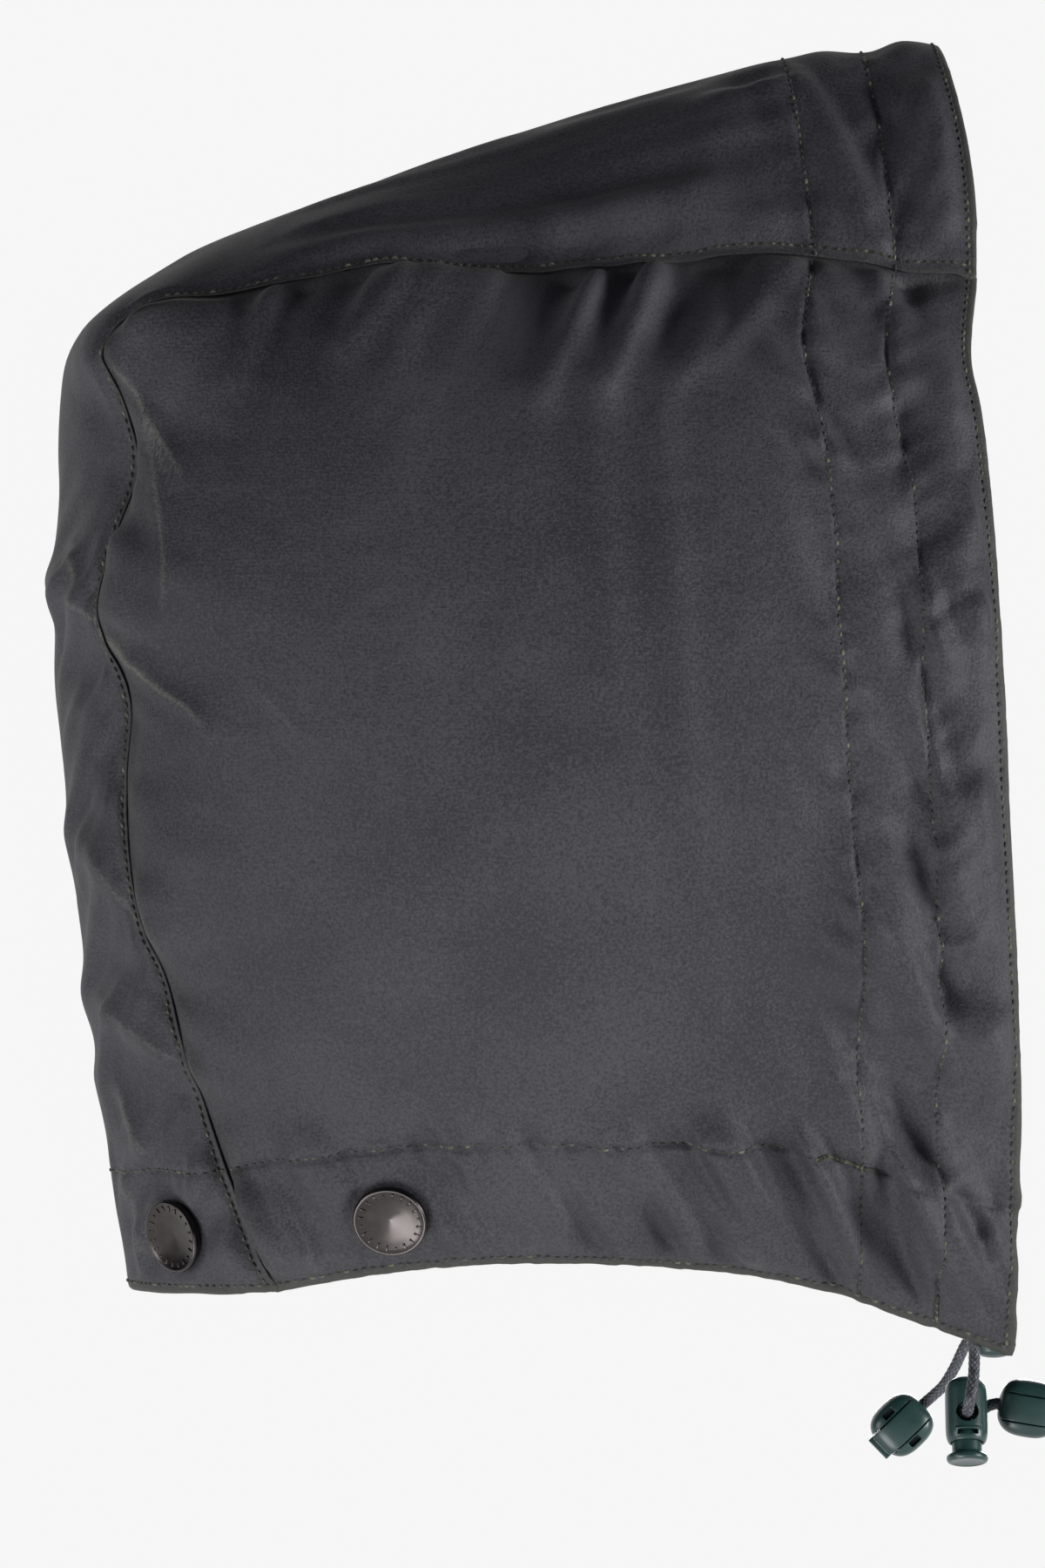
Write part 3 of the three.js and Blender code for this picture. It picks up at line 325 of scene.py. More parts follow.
def crease_relief(x, z, creases):
    """Height of narrow creases, each a ridge or dip with a hollow beside it. Also the distance to the
    nearest worn crease, with its sign, and how worn that one is."""
    height, worn = np.zeros(x.shape), np.zeros(x.shape)
    line, nearest = np.full(x.shape, 9.0), np.full(x.shape, 1e9)
    for run, lift, reach, dip, wear in creases:
        run = np.array(run, float)
        steps = np.diff(run, axis=0)
        lengths = np.linalg.norm(steps, axis=1)
        before = np.concatenate([[0], np.cumsum(lengths)])
        best = np.full(x.shape, 1e9)
        aside, place = np.zeros(x.shape), np.zeros(x.shape)
        for (px, pz), (dx, dz), length, start in zip(run, steps, lengths, before):
            t = np.clip(((x - px) * dx + (z - pz) * dz) / length ** 2, 0, 1)
            ox, oz = x - px - t * dx, z - pz - t * dz
            distance = np.hypot(ox, oz)
            nearer = distance < best
            best = np.where(nearer, distance, best)
            aside = np.where(nearer, np.sign(ox * dz - oz * dx) * distance, aside)
            place = np.where(nearer, (start + t * length) / before[-1], place)
        taper = np.sqrt(np.clip(np.sin(math.pi * np.clip(place, 0.03, 0.97)), 0, 1))
        top = np.exp(-(best / reach) ** 1.6)
        hollow = np.exp(-((aside - 1.9 * reach) / (1.3 * reach)) ** 2 - (best / (4 * reach)) ** 4)
        height += lift * taper * (top - dip * hollow)
        if wear:
            closer = best < nearest
            nearest = np.where(closer, best, nearest)
            line = np.where(closer, np.clip(aside, -9, 9), line)
            worn = np.where(closer, wear * taper * (place > 0.03) * (place < 0.97), worn)
    return height, line, worn


def spaced(length, step, places):
    """Shares along a length, closer together near the places where stitches and edges lie."""
    fine = np.linspace(0, length, 4000)
    density = 1 + 1.3 * sum(bell(fine, place, 2.2) for place in places)
    run = np.concatenate([[0], np.cumsum(density[1:])])
    count = int(length / step + 1.6 * len(places))
    return np.interp(np.linspace(0, run[-1], count), run, fine) / length


class Shell:
    """The hood's outer surface in millimetres, from the same tables as the solid model."""

    def __init__(self):
        for name in ("depth", "height", "half_width", "side_fullness", "hem_roll", "face_bow", "cloth_wall",
                     "casing_width", "band_height", "seam_lap", "stud_rise"):
            setattr(self, name, mm(name))
        self.coated = self.cloth_wall + mm("piece_gap")
        self.lap_across = 1 - self.seam_lap / CROWN_ARC
        self.back_reach = ORIGIN_FORWARD * self.depth
        self.front_drop = ORIGIN_UP * self.height
        self.top_run = even_pace(lambda t: self.seam(t * CORNER_SHARE))
        self.back_run = even_pace(lambda t: self.seam(CORNER_SHARE + t * (1 - CORNER_SHARE)))
        self.hem_run = even_pace(lambda t: self.edge(HEM_LINE, t))
        self.face_run = even_pace(lambda t: self.edge(FACE_LINE, t))
        one = np.array([0.0, 0.5, 1.0])
        self.corner_front_top, self.corner_back_top, self.corner_nape = self.seam(one)
        self.corner_front = self.edge(FACE_LINE, one)[0]
        self.hem_to_seam = self.corner_nape - self.edge(HEM_LINE, one)[0]
        self.face_to_seam = self.corner_front_top - self.edge(FACE_LINE, one)[2]
        self.length = self.top_run[-1] + self.back_run[-1]
        self.wave_shares = np.linspace(0, 1, 201)
        line = self.seam(self.back_share(self.wave_shares))
        # A running mean along the back seam takes its waves out of the panel's middle
        pad = 60
        padded = np.concatenate([2 * line[0] - line[pad:0:-1], line, 2 * line[-1] - line[-2:-pad - 2:-1]])
        weights = np.exp(-(np.arange(-pad, pad + 1) / 20.0) ** 2 / 2)
        calm = np.stack([np.convolve(padded[:, k], weights / weights.sum(), "valid") for k in range(3)], -1)
        self.waves = calm - line
        self.columns = np.linspace(0, 1, 25)
        sheet = self.side(*np.meshgrid(self.columns, np.linspace(0, 1, 61)), -1)
        self.column_lengths = np.linalg.norm(np.diff(sheet, axis=0), axis=2).sum(0)
        self.studs = {}
        for name, side in (("side_right", -1), ("side_left", 1)):
            u, v = np.array([0.185]), np.array([self.stud_rise / self.face_run[-1]])
            self.studs[name] = (self.side(u, v, side)[0], self.side_normal(u, v, side)[0])
        for name, across in (("nape_right", -0.64), ("nape_left", 0.64)):
            share = self.back_share(np.array([self.stud_rise / self.back_run[-1]]))
            place = np.array([across])
            self.studs[name] = (self.crown(share, place)[0], self.crown_normal(share, place)[0])

    def world(self, x_share, y, z_share):
        """A place in millimetres from shares of depth and height."""
        return np.stack([x_share * self.depth - self.back_reach, y + 0 * x_share,
                         z_share * self.height - self.front_drop], -1)

    def edge(self, table, share):
        """A place along the hem's or the face edge's line."""
        return self.world(along(table, share, EDGE_X), self.half_width * along(table, share, EDGE_OUT),
                          along(table, share, EDGE_Z))

    def outwards(self, points):
        """Roughly which way is out of the hood."""
        scaled = points - np.array([0, 0, self.height * 0.4])
        return unit(scaled / np.array([self.depth ** 2, self.half_width ** 2 * 4, self.height ** 2]))

    def fold_lift(self, x, z):
        """Height of the large folds."""
        lift = np.zeros(x.shape)
        for from_x, from_z, to_x, to_z, height, reach in FOLDS:
            ax, az = from_x * self.depth - self.back_reach, from_z * self.height - self.front_drop
            dx, dz = (to_x - from_x) * self.depth, (to_z - from_z) * self.height
            length = math.hypot(dx, dz)
            run = ((x - ax) * dx + (z - az) * dz) / length
            aside = ((x - ax) * dz - (z - az) * dx) / length
            past = np.maximum(np.maximum(-run, run - length), 0)
            lift += height * np.exp(-(aside ** 2 + past ** 2) / reach ** 2)
        return lift

    def crown(self, share, across):
        """A place on the crown, by share back from the face edge and share across."""
        turn = np.abs(across) * math.pi / 2
        drop = 1 - np.cos(turn)
        slope = along(CROWN_SECTIONS, share, SLOPE)
        reach = (1 - slope) * np.sin(turn) + slope * drop
        ridge_x, ridge_z, seam_x, seam_z, out = (
            along(CROWN_SECTIONS, share, key) for key in (RIDGE_X, RIDGE_Z, SEAM_X, SEAM_Z, SEAM_OUT))
        bow = self.face_bow * np.maximum(0, 1 - share * 6) * np.sin(math.pi * drop)
        sideways = np.sign(across) * out * self.half_width * reach
        points = self.world(ridge_x + (seam_x - ridge_x) * drop, sideways,
                            ridge_z + (seam_z - ridge_z) * drop)
        points[..., 0] += bow
        return points + self.outwards(points) * self.fold_lift(points[..., 0], points[..., 2])[..., None]

    def normal(self, surface, a, b):
        """The outward normal of a surface."""
        step = 0.004
        along_a = surface(a + step, b) - surface(a - step, b)
        along_b = surface(a, b + step) - surface(a, b - step)
        normal = unit(np.cross(along_a, along_b))
        facing = np.sum(normal * self.outwards(surface(a, b)), -1, keepdims=True)
        return np.where(facing < 0, -normal, normal)

    def crown_normal(self, share, across):
        """The crown's outward normal."""
        surface = lambda a, b: self.crown(np.clip(a, 0, 1), np.clip(b, -1, 1))
        return self.normal(surface, share, across)

    def seam(self, share):
        """The side panels' edge, one cloth under the crown's."""
        across = np.ones(np.shape(share))
        return self.crown(share, across) - self.crown_normal(share, across) * self.coated

    def top_share(self, u):
        """Share of the crown beside a place along the top of a side panel."""
        return CORNER_SHARE * share_at(self.top_run, 1 - u)

    def back_share(self, v):
        """Share of the crown beside a place up the back of a side panel."""
        return CORNER_SHARE + (1 - CORNER_SHARE) * share_at(self.back_run, 1 - v)

    def crown_share(self, reach):
        """Share of the crown at a distance from the face edge, measured over the top and down the back."""
        top, back = self.top_run[-1], self.back_run[-1]
        down_back = self.back_share(1 - (reach - top) / back)
        return np.where(reach < top, self.top_share(1 - reach / top), down_back)

    def row_length(self, v):
        """Width of a side panel at a share of its height."""
        face = self.edge(FACE_LINE, share_at(self.face_run, v))
        return np.linalg.norm(self.seam(self.back_share(v)) - face, axis=-1)

    def side(self, u, v, side):
        """A place on a side panel, by share from the back and share up from the hem."""
        u, v = np.clip(u, 0, 1), np.clip(v, 0, 1)
        top, back = self.seam(self.top_share(u)), self.seam(self.back_share(v))
        a, b = u[..., None], v[..., None]
        bottom = self.edge(HEM_LINE, share_at(self.hem_run, u)) + self.hem_to_seam * (1 - a) ** 3
        front = self.edge(FACE_LINE, share_at(self.face_run, v)) + self.face_to_seam * b ** 3
        points = bottom * (1 - b) + top * b + back * (1 - a) + front * a
        # The back seam's waves die out within a quarter of the panel
        points = points + follow(v, self.wave_shares, self.waves) * (1 - a) * smooth(a / 0.25)
        points = points - self.corner_nape * (1 - a) * (1 - b) - self.corner_front * a * (1 - b)
        points = points - self.corner_back_top * (1 - a) * b - self.corner_front_top * a * b
        swell = lambda t, rise, fall: (t ** rise * (1 - t) ** fall) / (
            (rise / (rise + fall)) ** rise * (fall / (rise + fall)) ** fall)
        points[..., 1] += self.side_fullness * swell(u, 0.6, 1) * swell(v, 1, 0.6)
        across_hem = np.sqrt(np.maximum(0, np.sin(math.pi * u)))
        points[..., 1] += self.hem_roll * across_hem * (1 - np.exp(-v / 0.07)) * (1 - v)
        inside = np.minimum(1, 128 * u * (1 - u) * v * (1 - v))
        x, z = points[..., 0], points[..., 2]
        calm = 1 - 0.6 * smooth((-60 - x) / 20) * smooth((z - 130) / 20)
        lift = self.fold_lift(x, z) * inside * calm
        points = points + self.outwards(points) * lift[..., None]
        points[..., 1] *= side
        return points

    def side_share(self, above, u):
        """Share up the side panel for a distance above its hem."""
        return above / np.interp(u, self.columns, self.column_lengths)

    def band_rise(self, u):
        """How much higher the hem band is sewn towards the face edge."""
        return 5.6 * smooth((u - 0.38) / 0.37)

    def side_normal(self, u, v, side):
        """A side panel's outward normal."""
        return self.normal(lambda a, b: self.side(a, b, side), u, v)

    # Relief of the sewn cloth over that surface

    def near_stud(self, points):
        """Nought under a stud cap, rising to one away from it."""
        free = np.ones(points.shape[:-1])
        for place, _ in self.studs.values():
            free *= smooth((np.linalg.norm(points - place, axis=-1) - 9) / 4.5)
        return free

    def casing_relief(self, inwards, run, seed, puff=1.0):
        """Relief of the face casing: two channels between stitch lines that pucker the cloth."""
        half, width = self.casing_width / 2, self.casing_width
        front = np.clip(inwards / half, 0, 1)
        rear = np.clip((inwards - half) / half, 0, 1)
        relief = 0.9 * np.sin(math.pi * front) ** 0.8 * (0.8 + 0.5 * flat_noise(run, 0, 26, 1, seed))
        relief += 0.7 * np.sin(math.pi * rear) ** 0.8 * (0.7 + 0.6 * flat_noise(run, 0, 31, 1, seed + 1))
        relief *= puff
        # Slanting folds through the rear channel and a little beyond it
        lengthwise, crosswise = 0.36 * inwards + 0.93 * run, 0.93 * inwards - 0.36 * run
        slanting = flat_noise(crosswise, lengthwise, 7.5, 30, seed + 5)
        relief += 2.0 * slanting * smooth((inwards - 8) / 14) * smooth((width + 20 - inwards) / 26)
        # Cushions along the front channel, with small creases on them
        cushions = flat_noise(run + 0.5 * inwards, inwards, 15, 24, seed + 6)
        small = flat_noise(run + 0.9 * inwards, inwards - 0.4 * run, 4.2, 10, seed + 7)
        window = smooth(inwards / 7) * smooth((half + 5 - inwards) / 8)
        relief += (2.1 * cushions + 0.5 * small * smooth(0.5 + cushions)) * window
        for place, strength, slant in ((half, 1, 0.55), (width, 0.8, -0.4)):
            near = inwards - place
            ripple = flat_noise(run + slant * near, near, 5.2, 22, seed + int(place))
            fine = flat_noise(run - slant * near, near, 2.6, 9, seed + int(place) + 3)
            relief += strength * 0.95 * ripple * np.exp(-np.abs(near) / 8) * (1 - bell(near, 0, 1.3))
            relief += strength * 0.3 * fine * np.exp(-np.abs(near) / 3.5)
            relief -= 0.5 * bell(near, 0, 0.8)
        relief *= 0.25 + 0.75 * smooth(inwards / 7)
        relief -= 0.3 * bell(inwards, EDGE_STITCH, 0.6)
        relief += 0.22 * flat_noise(run, inwards, 2.0, 30, seed + 12) * bell(inwards, 0.8, 1.4)
        return relief

    def hem_relief(self, above, run, seed, rise=0.0):
        """Relief of the hem band: its two stitch lines and the upright puckers between them."""
        band = self.band_height + 1 + rise
        relief = -0.42 * bell(above, band, 0.8) - 0.3 * bell(above, HEM_STITCH, 0.6)
        within = np.exp(-(np.maximum(0, above - band) / 8) ** 2)
        upright = flat_noise(run + 0.22 * above, above, 6.6, 34, seed)
        fine = flat_noise(run, above, 3.1, 11, seed + 1)
        sharp = upright + 0.35 * np.abs(upright)
        relief += 1.5 * sharp * within * smooth(above / 9)
        relief += 0.32 * fine * (np.exp(-np.abs(above - band) / 4) + np.exp(-above / 4) * smooth(above / 4))
        relief += 0.4 * np.sin(math.pi * np.clip(above / band, 0, 1))
        relief += 0.2 * flat_noise(run, above, 2.0, 30, seed + 4) * bell(above, 0.9, 1.4)
        return relief

    def cloth_grain(self, points, seed):
        """Soft unevenness of waxed cotton that has been folded away."""
        relief = 0.5 * noise(points, 42, seed) + 0.2 * noise(points * [1, 1, 0.7], 17, seed + 1)
        crumple = noise(points, 9, seed + 2)
        return relief + 0.07 * (1 - 2 * np.abs(crumple)) + 0.03 * noise(points, 3.6, seed + 3)

    def side_cloth(self, u, v, side):
        """Places, normals, relief and tints of a side panel's outer face."""
        u, v = np.broadcast_arrays(np.asarray(u, float), np.asarray(v, float))
        points, normals = self.side(u, v, side), self.side_normal(u, v, side)
        x, z = points[..., 0], points[..., 2]
        row = self.row_length(v)
        to_face, to_back = (1 - u) * row, u * row
        column = np.interp(u, self.columns, self.column_lengths)
        above, below_top = v * column, (1 - v) * column
        seed = 11 if side < 0 else 71
        relief = 1.35 * self.casing_relief(to_face, above, seed)
        relief += 2.3 * self.hem_relief(above, to_back, seed + 20, self.band_rise(u))
        mirrored = 1 if side < 0 else 0.7
        shift = 0 if side < 0 else 6
        height, line, worn = crease_relief(x + shift, z - shift / 2, CREASES)
        relief += mirrored * height
        # Gathers hang from the crown seam, over the puffed edge beside it
        gather = flat_noise(x + 0.42 * below_top, below_top, 7.0, 46, seed + 40)
        fades = np.exp(-below_top / 17 - (below_top / 42) ** 2)
        relief += 3.0 * gather * fades * smooth((to_face - 36) / 12)
        relief += 0.8 * bell(below_top, 6, 4.2) * (0.7 + 0.6 * flat_noise(x, 0, 24, 1, seed + 41))
        # Short folds are pulled in from the back seam
        pull = flat_noise(above + 0.5 * to_back, to_back, 8.5, 24, seed + 42)
        relief += 1.9 * pull * np.exp(-to_back / 11)
        relief += 0.5 * bell(to_back, 5, 3.4) * (0.6 + 0.6 * flat_noise(above, 0, 21, 1, seed + 43))
        relief += self.cloth_grain(points, seed + 50)
        relief *= self.near_stud(points)
        relief *= smooth(below_top / 3.2) * smooth(to_back / 3.2)
        # Under the lap the panel lies close to the crown panel
        relief += 0.22 * smooth((14 - np.minimum(below_top, to_back)) / 5)
        edge = np.minimum(to_face, above)
        relief *= 0.35 + 0.65 * smooth(edge / 8)
        olive = edge_wear(edge)
        # Painted shade: a darker olive band just below the crown's lapped edge
        olive += 0.4 * np.exp(-((np.minimum(below_top, to_back) - 2.5) / 2) ** 2)
        return points, normals, relief, {"olive": olive, "line": line, "worn": worn, "edge": edge,
                                         "weave": np.stack([to_back, above, 0 * above], -1)}

    def crown_cloth(self, reach, across):
        """The same for the crown panel, by distance from the face edge and share across."""
        reach, across = np.broadcast_arrays(np.asarray(reach, float), np.asarray(across, float))
        share = self.crown_share(reach)
        points, normals = self.crown(share, across), self.crown_normal(share, across)
        x, z = points[..., 0], points[..., 2]
        sideways = across * CROWN_ARC
        to_seam = (1 - np.abs(across)) * CROWN_ARC
        above = self.length - reach
        side = np.where(across < 0, -1, 1)
        casing = self.casing_relief(reach, sideways, 131, 0.2)
        casing *= 0.35 + 0.65 * smooth(np.abs(across) / 0.4)
        free = smooth((reach - 2) / 5) * smooth((above - 2) / 5)
        relief = casing + self.hem_relief(above, sideways, 151)
        height, line, worn = crease_relief(x + np.where(side > 0, 4, 0), z, CREASES)
        relief += height * np.where(side < 0, 1, 0.6) * smooth(np.abs(across) / 0.35)
        # Folds pulled in from the seams, crumples down the back, and streaks along the top
        pull = flat_noise(reach + 0.4 * to_seam, to_seam, 9.5, 30, 171)
        relief += 1.0 * pull * np.exp(-to_seam / 16)
        down = smooth((reach - 0.52 * self.length) / 30)
        crumple = flat_noise(reach - 0.8 * sideways, sideways, 9, 26, 175)
        relief += 1.1 * crumple * down * smooth(np.abs(across) / 0.3) * smooth(above / 14)
        streaks = flat_noise(sideways, reach, 8, 42, 177)
        relief += 2.4 * streaks * smooth((reach - 36) / 14) * smooth((190 - reach) / 80)
        relief += self.cloth_grain(points, 181)
        relief *= self.near_stud(points) * smooth(to_seam / 6)
        relief *= 0.22 + 0.78 * smooth(np.abs(across) / 0.42)
        relief += 1.5 * np.exp(-((reach - 31) / 7) ** 2 - (across / 0.35) ** 2)
        relief *= 0.35 + 0.65 * smooth(np.minimum(reach, above) / 8)
        # The cloth is folded under along the seam
        fold = smooth((8.2 - to_seam) / 1.6)
        # The edge stands off most over the ear and at the back corner
        waves = 0.12 + 0.25 * np.maximum(0, flat_noise(reach, side * 5.0, 19, 1, 191))
        stands_off = 0.8 * bell(x, 4, 20) + 0.7 * bell(x, -74, 12)
        waves += stands_off * smooth((z - 215) / 20)
        lift = waves * bell(to_seam, 0, 3.5) * free - 0.6 * fold
        lift += 0.12 * flat_noise(reach, 0, 4.2, 1, 201) * bell(to_seam, 0, 3) * free
        lift -= 0.35 * bell(to_seam, EDGE_STITCH, 0.6)
        relief += lift
        edge = np.minimum(reach, above)
        olive = edge_wear(edge) + 0.8 * bell(to_seam, 0, 0.7)
        olive += 0.25 * bell(to_seam, 1.8, 1.2)
        weave = np.stack([sideways, reach, 0 * reach], -1)
        return points, normals, relief, {"olive": olive, "line": line, "worn": worn, "edge": edge,
                                         "fold": fold, "weave": weave}

    def crown_edge(self, reach, side):
        """Share across at the crown's folded edge, which wavers a little along the seam."""
        waver = 0.45 + 0.45 * flat_noise(reach, side * 9.0, 13, 1, 211)
        free = smooth((reach - 3) / 6) * smooth((self.length - reach - 3) / 6)
        return 1 - np.clip(waver, 0, 0.9) * free / CROWN_ARC


# Meshes

def mesh_object(name, points, faces, attributes=None):
    """A smooth mesh from points in millimetres, with its attributes."""
    mesh = bpy.data.meshes.new(name)
    mesh.from_pydata((np.asarray(points) * MM).tolist(), [], [tuple(f) for f in faces])
    mesh.polygons.foreach_set("use_smooth", [True] * len(mesh.polygons))
    for key, values in (attributes or {}).items():
        values = np.asarray(values, np.float32)
        if values.ndim == 1:
            mesh.attributes.new(key, "FLOAT", "POINT").data.foreach_set("value", values)
        else:
            mesh.attributes.new(key, "FLOAT_VECTOR", "POINT").data.foreach_set("vector", values.ravel())
    mesh.update()
    thing = bpy.data.objects.new(name, mesh)
    bpy.context.scene.collection.objects.link(thing)
    return thing


def grid_faces(index):
    """Four-sided faces between the rows and columns of a grid of points."""
    a, b, c, d = index[:-1, :-1], index[:-1, 1:], index[1:, 1:], index[1:, :-1]
    return np.stack([a.ravel(), b.ravel(), c.ravel(), d.ravel()], -1)


def face_normals(points, faces):
    """Normals of four-sided faces, as long as the faces are large."""
    corners = points[faces]
    return np.cross(corners[:, 2] - corners[:, 0], corners[:, 3] - corners[:, 1])


def cloth_object(name, points, faces, walls, outwards, attributes):
    """Gives a sheet of cloth its thickness inwards, with rounded edges, and makes it an object."""
    normals = face_normals(points, faces)
    middle = points[faces].mean(1)
    if np.sum(normals * outwards(middle)) < 0:
        faces = faces[:, ::-1]
        normals = -normals
    at_points = np.zeros_like(points)
    for k in range(4):
        np.add.at(at_points, faces[:, k], normals)
    at_points = unit(at_points)
    count = len(points)
    inner = points - at_points * walls[:, None]
    edges = np.concatenate([faces[:, [k, (k + 1) % 4]] for k in range(4)])
    keys = np.sort(edges, 1)
    _, first, uses = np.unique(keys[:, 0] * count + keys[:, 1], return_index=True, return_counts=True)
    rim = edges[first[uses == 1]]
    away = np.zeros_like(points)
    direction = np.cross(points[rim[:, 1]] - points[rim[:, 0]], at_points[rim[:, 0]])
    for k in range(2):
        np.add.at(away, rim[:, k], direction)
    away = unit(away)
    order = np.unique(rim)
    slot = np.full(count, -1)
    slot[order] = np.arange(len(order))
    turns = np.radians([60, 30, 0, -30, -60])
    rows = []
    half = walls[order, None] / 2
    centre = points[order] - at_points[order] * half
    for turn in turns:
        rows.append(centre + at_points[order] * half * math.sin(turn) + away[order] * half * math.cos(turn))
    all_points = np.concatenate([points, inner, *rows])
    levels = [order, *(2 * count + k * len(order) + np.arange(len(order)) for k in range(len(rows))),
              order + count]
    sides = []
    for upper, lower in zip(levels, levels[1:]):
        a, b = upper[slot[rim[:, 0]]], upper[slot[rim[:, 1]]]
        c, d = lower[slot[rim[:, 1]]], lower[slot[rim[:, 0]]]
        sides.append(np.stack([b, a, d, c], -1))
    all_faces = np.concatenate([faces, faces[:, ::-1] + count, *sides])
    spread = {key: np.concatenate([values, values, *[values[order]] * len(rows)])
              for key, values in attributes.items()}
    return mesh_object(name, all_points, all_faces, spread)


def rounded_edge(edge, wall, coated):
    """Thickness near a turned edge, where the cloth is folded inwards on itself."""
    return wall + coated * smooth((4.2 - edge) / 1.6)


def cloth_colours(points, tints, seed):
    """Attributes that the cloth's material reads."""
    # Painted light: the cloth is made lighter towards the hem, towards the face edge and over the upper part
    # away from the back; the noise terms add random tone
    low = smooth((95 - points[:, 2]) / 110)
    front = smooth((points[:, 0] - 70) / 50)
    bloom = 0.5 * low + 0.35 * front + 0.45 * noise(points, 30, seed) + 0.2 * noise(points, 11, seed + 1)
    bloom += 0.8 * smooth((points[:, 2] - 190) / 50) * smooth((points[:, 0] + 70) / 60)
    # The cloth is darker in front of the chin
    bloom -= 0.9 * np.exp(-((points[:, 0] - 66) / 26) ** 2 - ((points[:, 2] - 68) / 34) ** 2)
    return {"olive": np.clip(tints["olive"], 0, 1), "line": tints["line"], "worn": tints["worn"],
            "bloom": np.clip(bloom, -1, 1.5), "weave": tints["weave"]}


def flat(values):
    """A grid of values or vectors as one list."""
    return values.reshape(-1, *values.shape[2:]) if values.ndim == 3 else values.ravel()


def make_side_panel(shell, side):
    """A side panel with its lap under the crown's edge."""
    step = mm("cloth_step")
    wide, tall = 240.0, shell.face_run[-1]
    levels = spaced(tall, step, (0.5, HEM_STITCH, shell.band_height + 4, tall - 1.5))
    casing = shell.casing_width
    places = spaced(wide, step, (1, wide - 0.5, wide - EDGE_STITCH, wide - casing / 2, wide - casing))
    rows, columns = len(levels), len(places)
    foot = TURNED_EDGE / tall
    v = (foot + (1 - foot) * levels)[:, None] * np.ones((1, columns))
    row = shell.row_length(v)
    inwards = wide - places * wide
    casing_reach = 60.0
    near = np.minimum(inwards, casing_reach)[None, :]
    # Keeps the columns at a steady distance from the face edge over the casing
    spread_out = (inwards[None, :] - near) * (row - casing_reach - TURNED_EDGE) / (wide - casing_reach)
    u = 1 - (TURNED_EDGE + near + spread_out) / row
    u = np.clip(u, 0, 1)
    points, normals, relief, tints = shell.side_cloth(u, v, side)
    outer = points + normals * relief[..., None]
    index = np.arange(rows * columns).reshape(rows, columns)
    steps = 5
    border = np.concatenate([index[-1, ::-1], index[-2::-1, 0]])
    reach = np.concatenate([shell.top_run[-1] * (1 - u[-1, ::-1]),
                            shell.top_run[-1] + shell.back_run[-1] * (1 - v[-2::-1, 0])])
    share = shell.crown_share(reach)
    shares, across = np.meshgrid(share, np.linspace(1, shell.lap_across, steps + 1)[1:])
    lap = shell.crown(shares, across) - shell.crown_normal(shares, across) * shell.coated
    lap[..., 1] *= side
    lap_index = rows * columns + np.arange(steps * len(reach)).reshape(steps, len(reach))
    strip = grid_faces(np.concatenate([border[None, :], lap_index]))
    faces = grid_faces(index)
    if np.dot(face_normals(outer.reshape(-1, 3), faces).mean(0), [0, side, 0]) <= 0:
        faces = faces[:, ::-1]
    every = np.concatenate([outer.reshape(-1, 3), lap.reshape(-1, 3)])
    if np.sum(face_normals(every, strip) * shell.outwards(every[strip].mean(1))) < 0:
        strip = strip[:, ::-1]
    more = len(every) - rows * columns
    pad = lambda values, fill: np.concatenate([flat(values), np.full((more, *flat(values).shape[1:]), fill)])
    spread = {key: pad(tints[key], 9 if key == "line" else 0) for key in ("olive", "line", "worn", "weave")}
    walls = pad(rounded_edge(tints["edge"], shell.cloth_wall, shell.coated), shell.cloth_wall)
    name = "side_cloth_right" if side < 0 else "side_cloth_left"
    return cloth_object(name, every, np.concatenate([faces, strip]), walls, shell.outwards,
                        cloth_colours(every, spread, 301 if side < 0 else 311))


def make_crown_panel(shell):
    """The crown panel, whose folded edges lie over both side panels."""
    step = mm("cloth_step")
    length = shell.length - 2 * TURNED_EDGE
    width = 2 * CROWN_ARC
    levels = spaced(length, step, (0.5, EDGE_STITCH, shell.casing_width / 2, shell.casing_width,
                                   length - shell.band_height, length - HEM_STITCH))
    places = 2 * spaced(width, step, (0.2, EDGE_STITCH, width - EDGE_STITCH, width - 0.2)) - 1
    rows, columns = len(levels), len(places)
    across, reach = np.meshgrid(places, TURNED_EDGE + length * levels)
    limit = np.where(across < 0, shell.crown_edge(reach, -1), shell.crown_edge(reach, 1))
    across = across * limit
    points, normals, relief, tints = shell.crown_cloth(reach, across)
    outer = (points + normals * relief[..., None]).reshape(-1, 3)
    faces = grid_faces(np.arange(rows * columns).reshape(rows, columns))
    walls = rounded_edge(tints["edge"], shell.cloth_wall, shell.coated) - 0.6 * tints["fold"]
    spread = {key: flat(tints[key]) for key in ("olive", "line", "worn", "weave")}
    return cloth_object("crown_cloth", outer, faces, walls.ravel(), shell.outwards,
                        cloth_colours(outer, spread, 321))


def lining_depth(shell, across):
    """Depth of the lining strips under the crown: one cloth in the middle, two where the panels lap."""
    lapped = smooth((np.abs(across) - 0.43) / (shell.lap_across - 0.43))
    return shell.coated * (1 + lapped)


def lining_point(shell, where, a, b, depth):
    """A place on the inside of the outer cloth, which follows its relief."""
    if where == "crown":
        points, normals, relief, _ = shell.crown_cloth(a, b)
    else:
        points, normals, relief, _ = shell.side_cloth(a, b, where)
    return points + normals * (np.minimum(relief, 1.2) - depth)[..., None]


def ease_corners(grid, middles, half):
    """Eases a strip's rows round the corners between the sides and the crown."""
    for _ in range(6):
        for middle in middles:
            block = grid[middle - half - 1:middle + half + 1]
            grid[middle - half:middle + half] = (block[:-2] + 2 * block[1:-1] + block[2:]) / 4


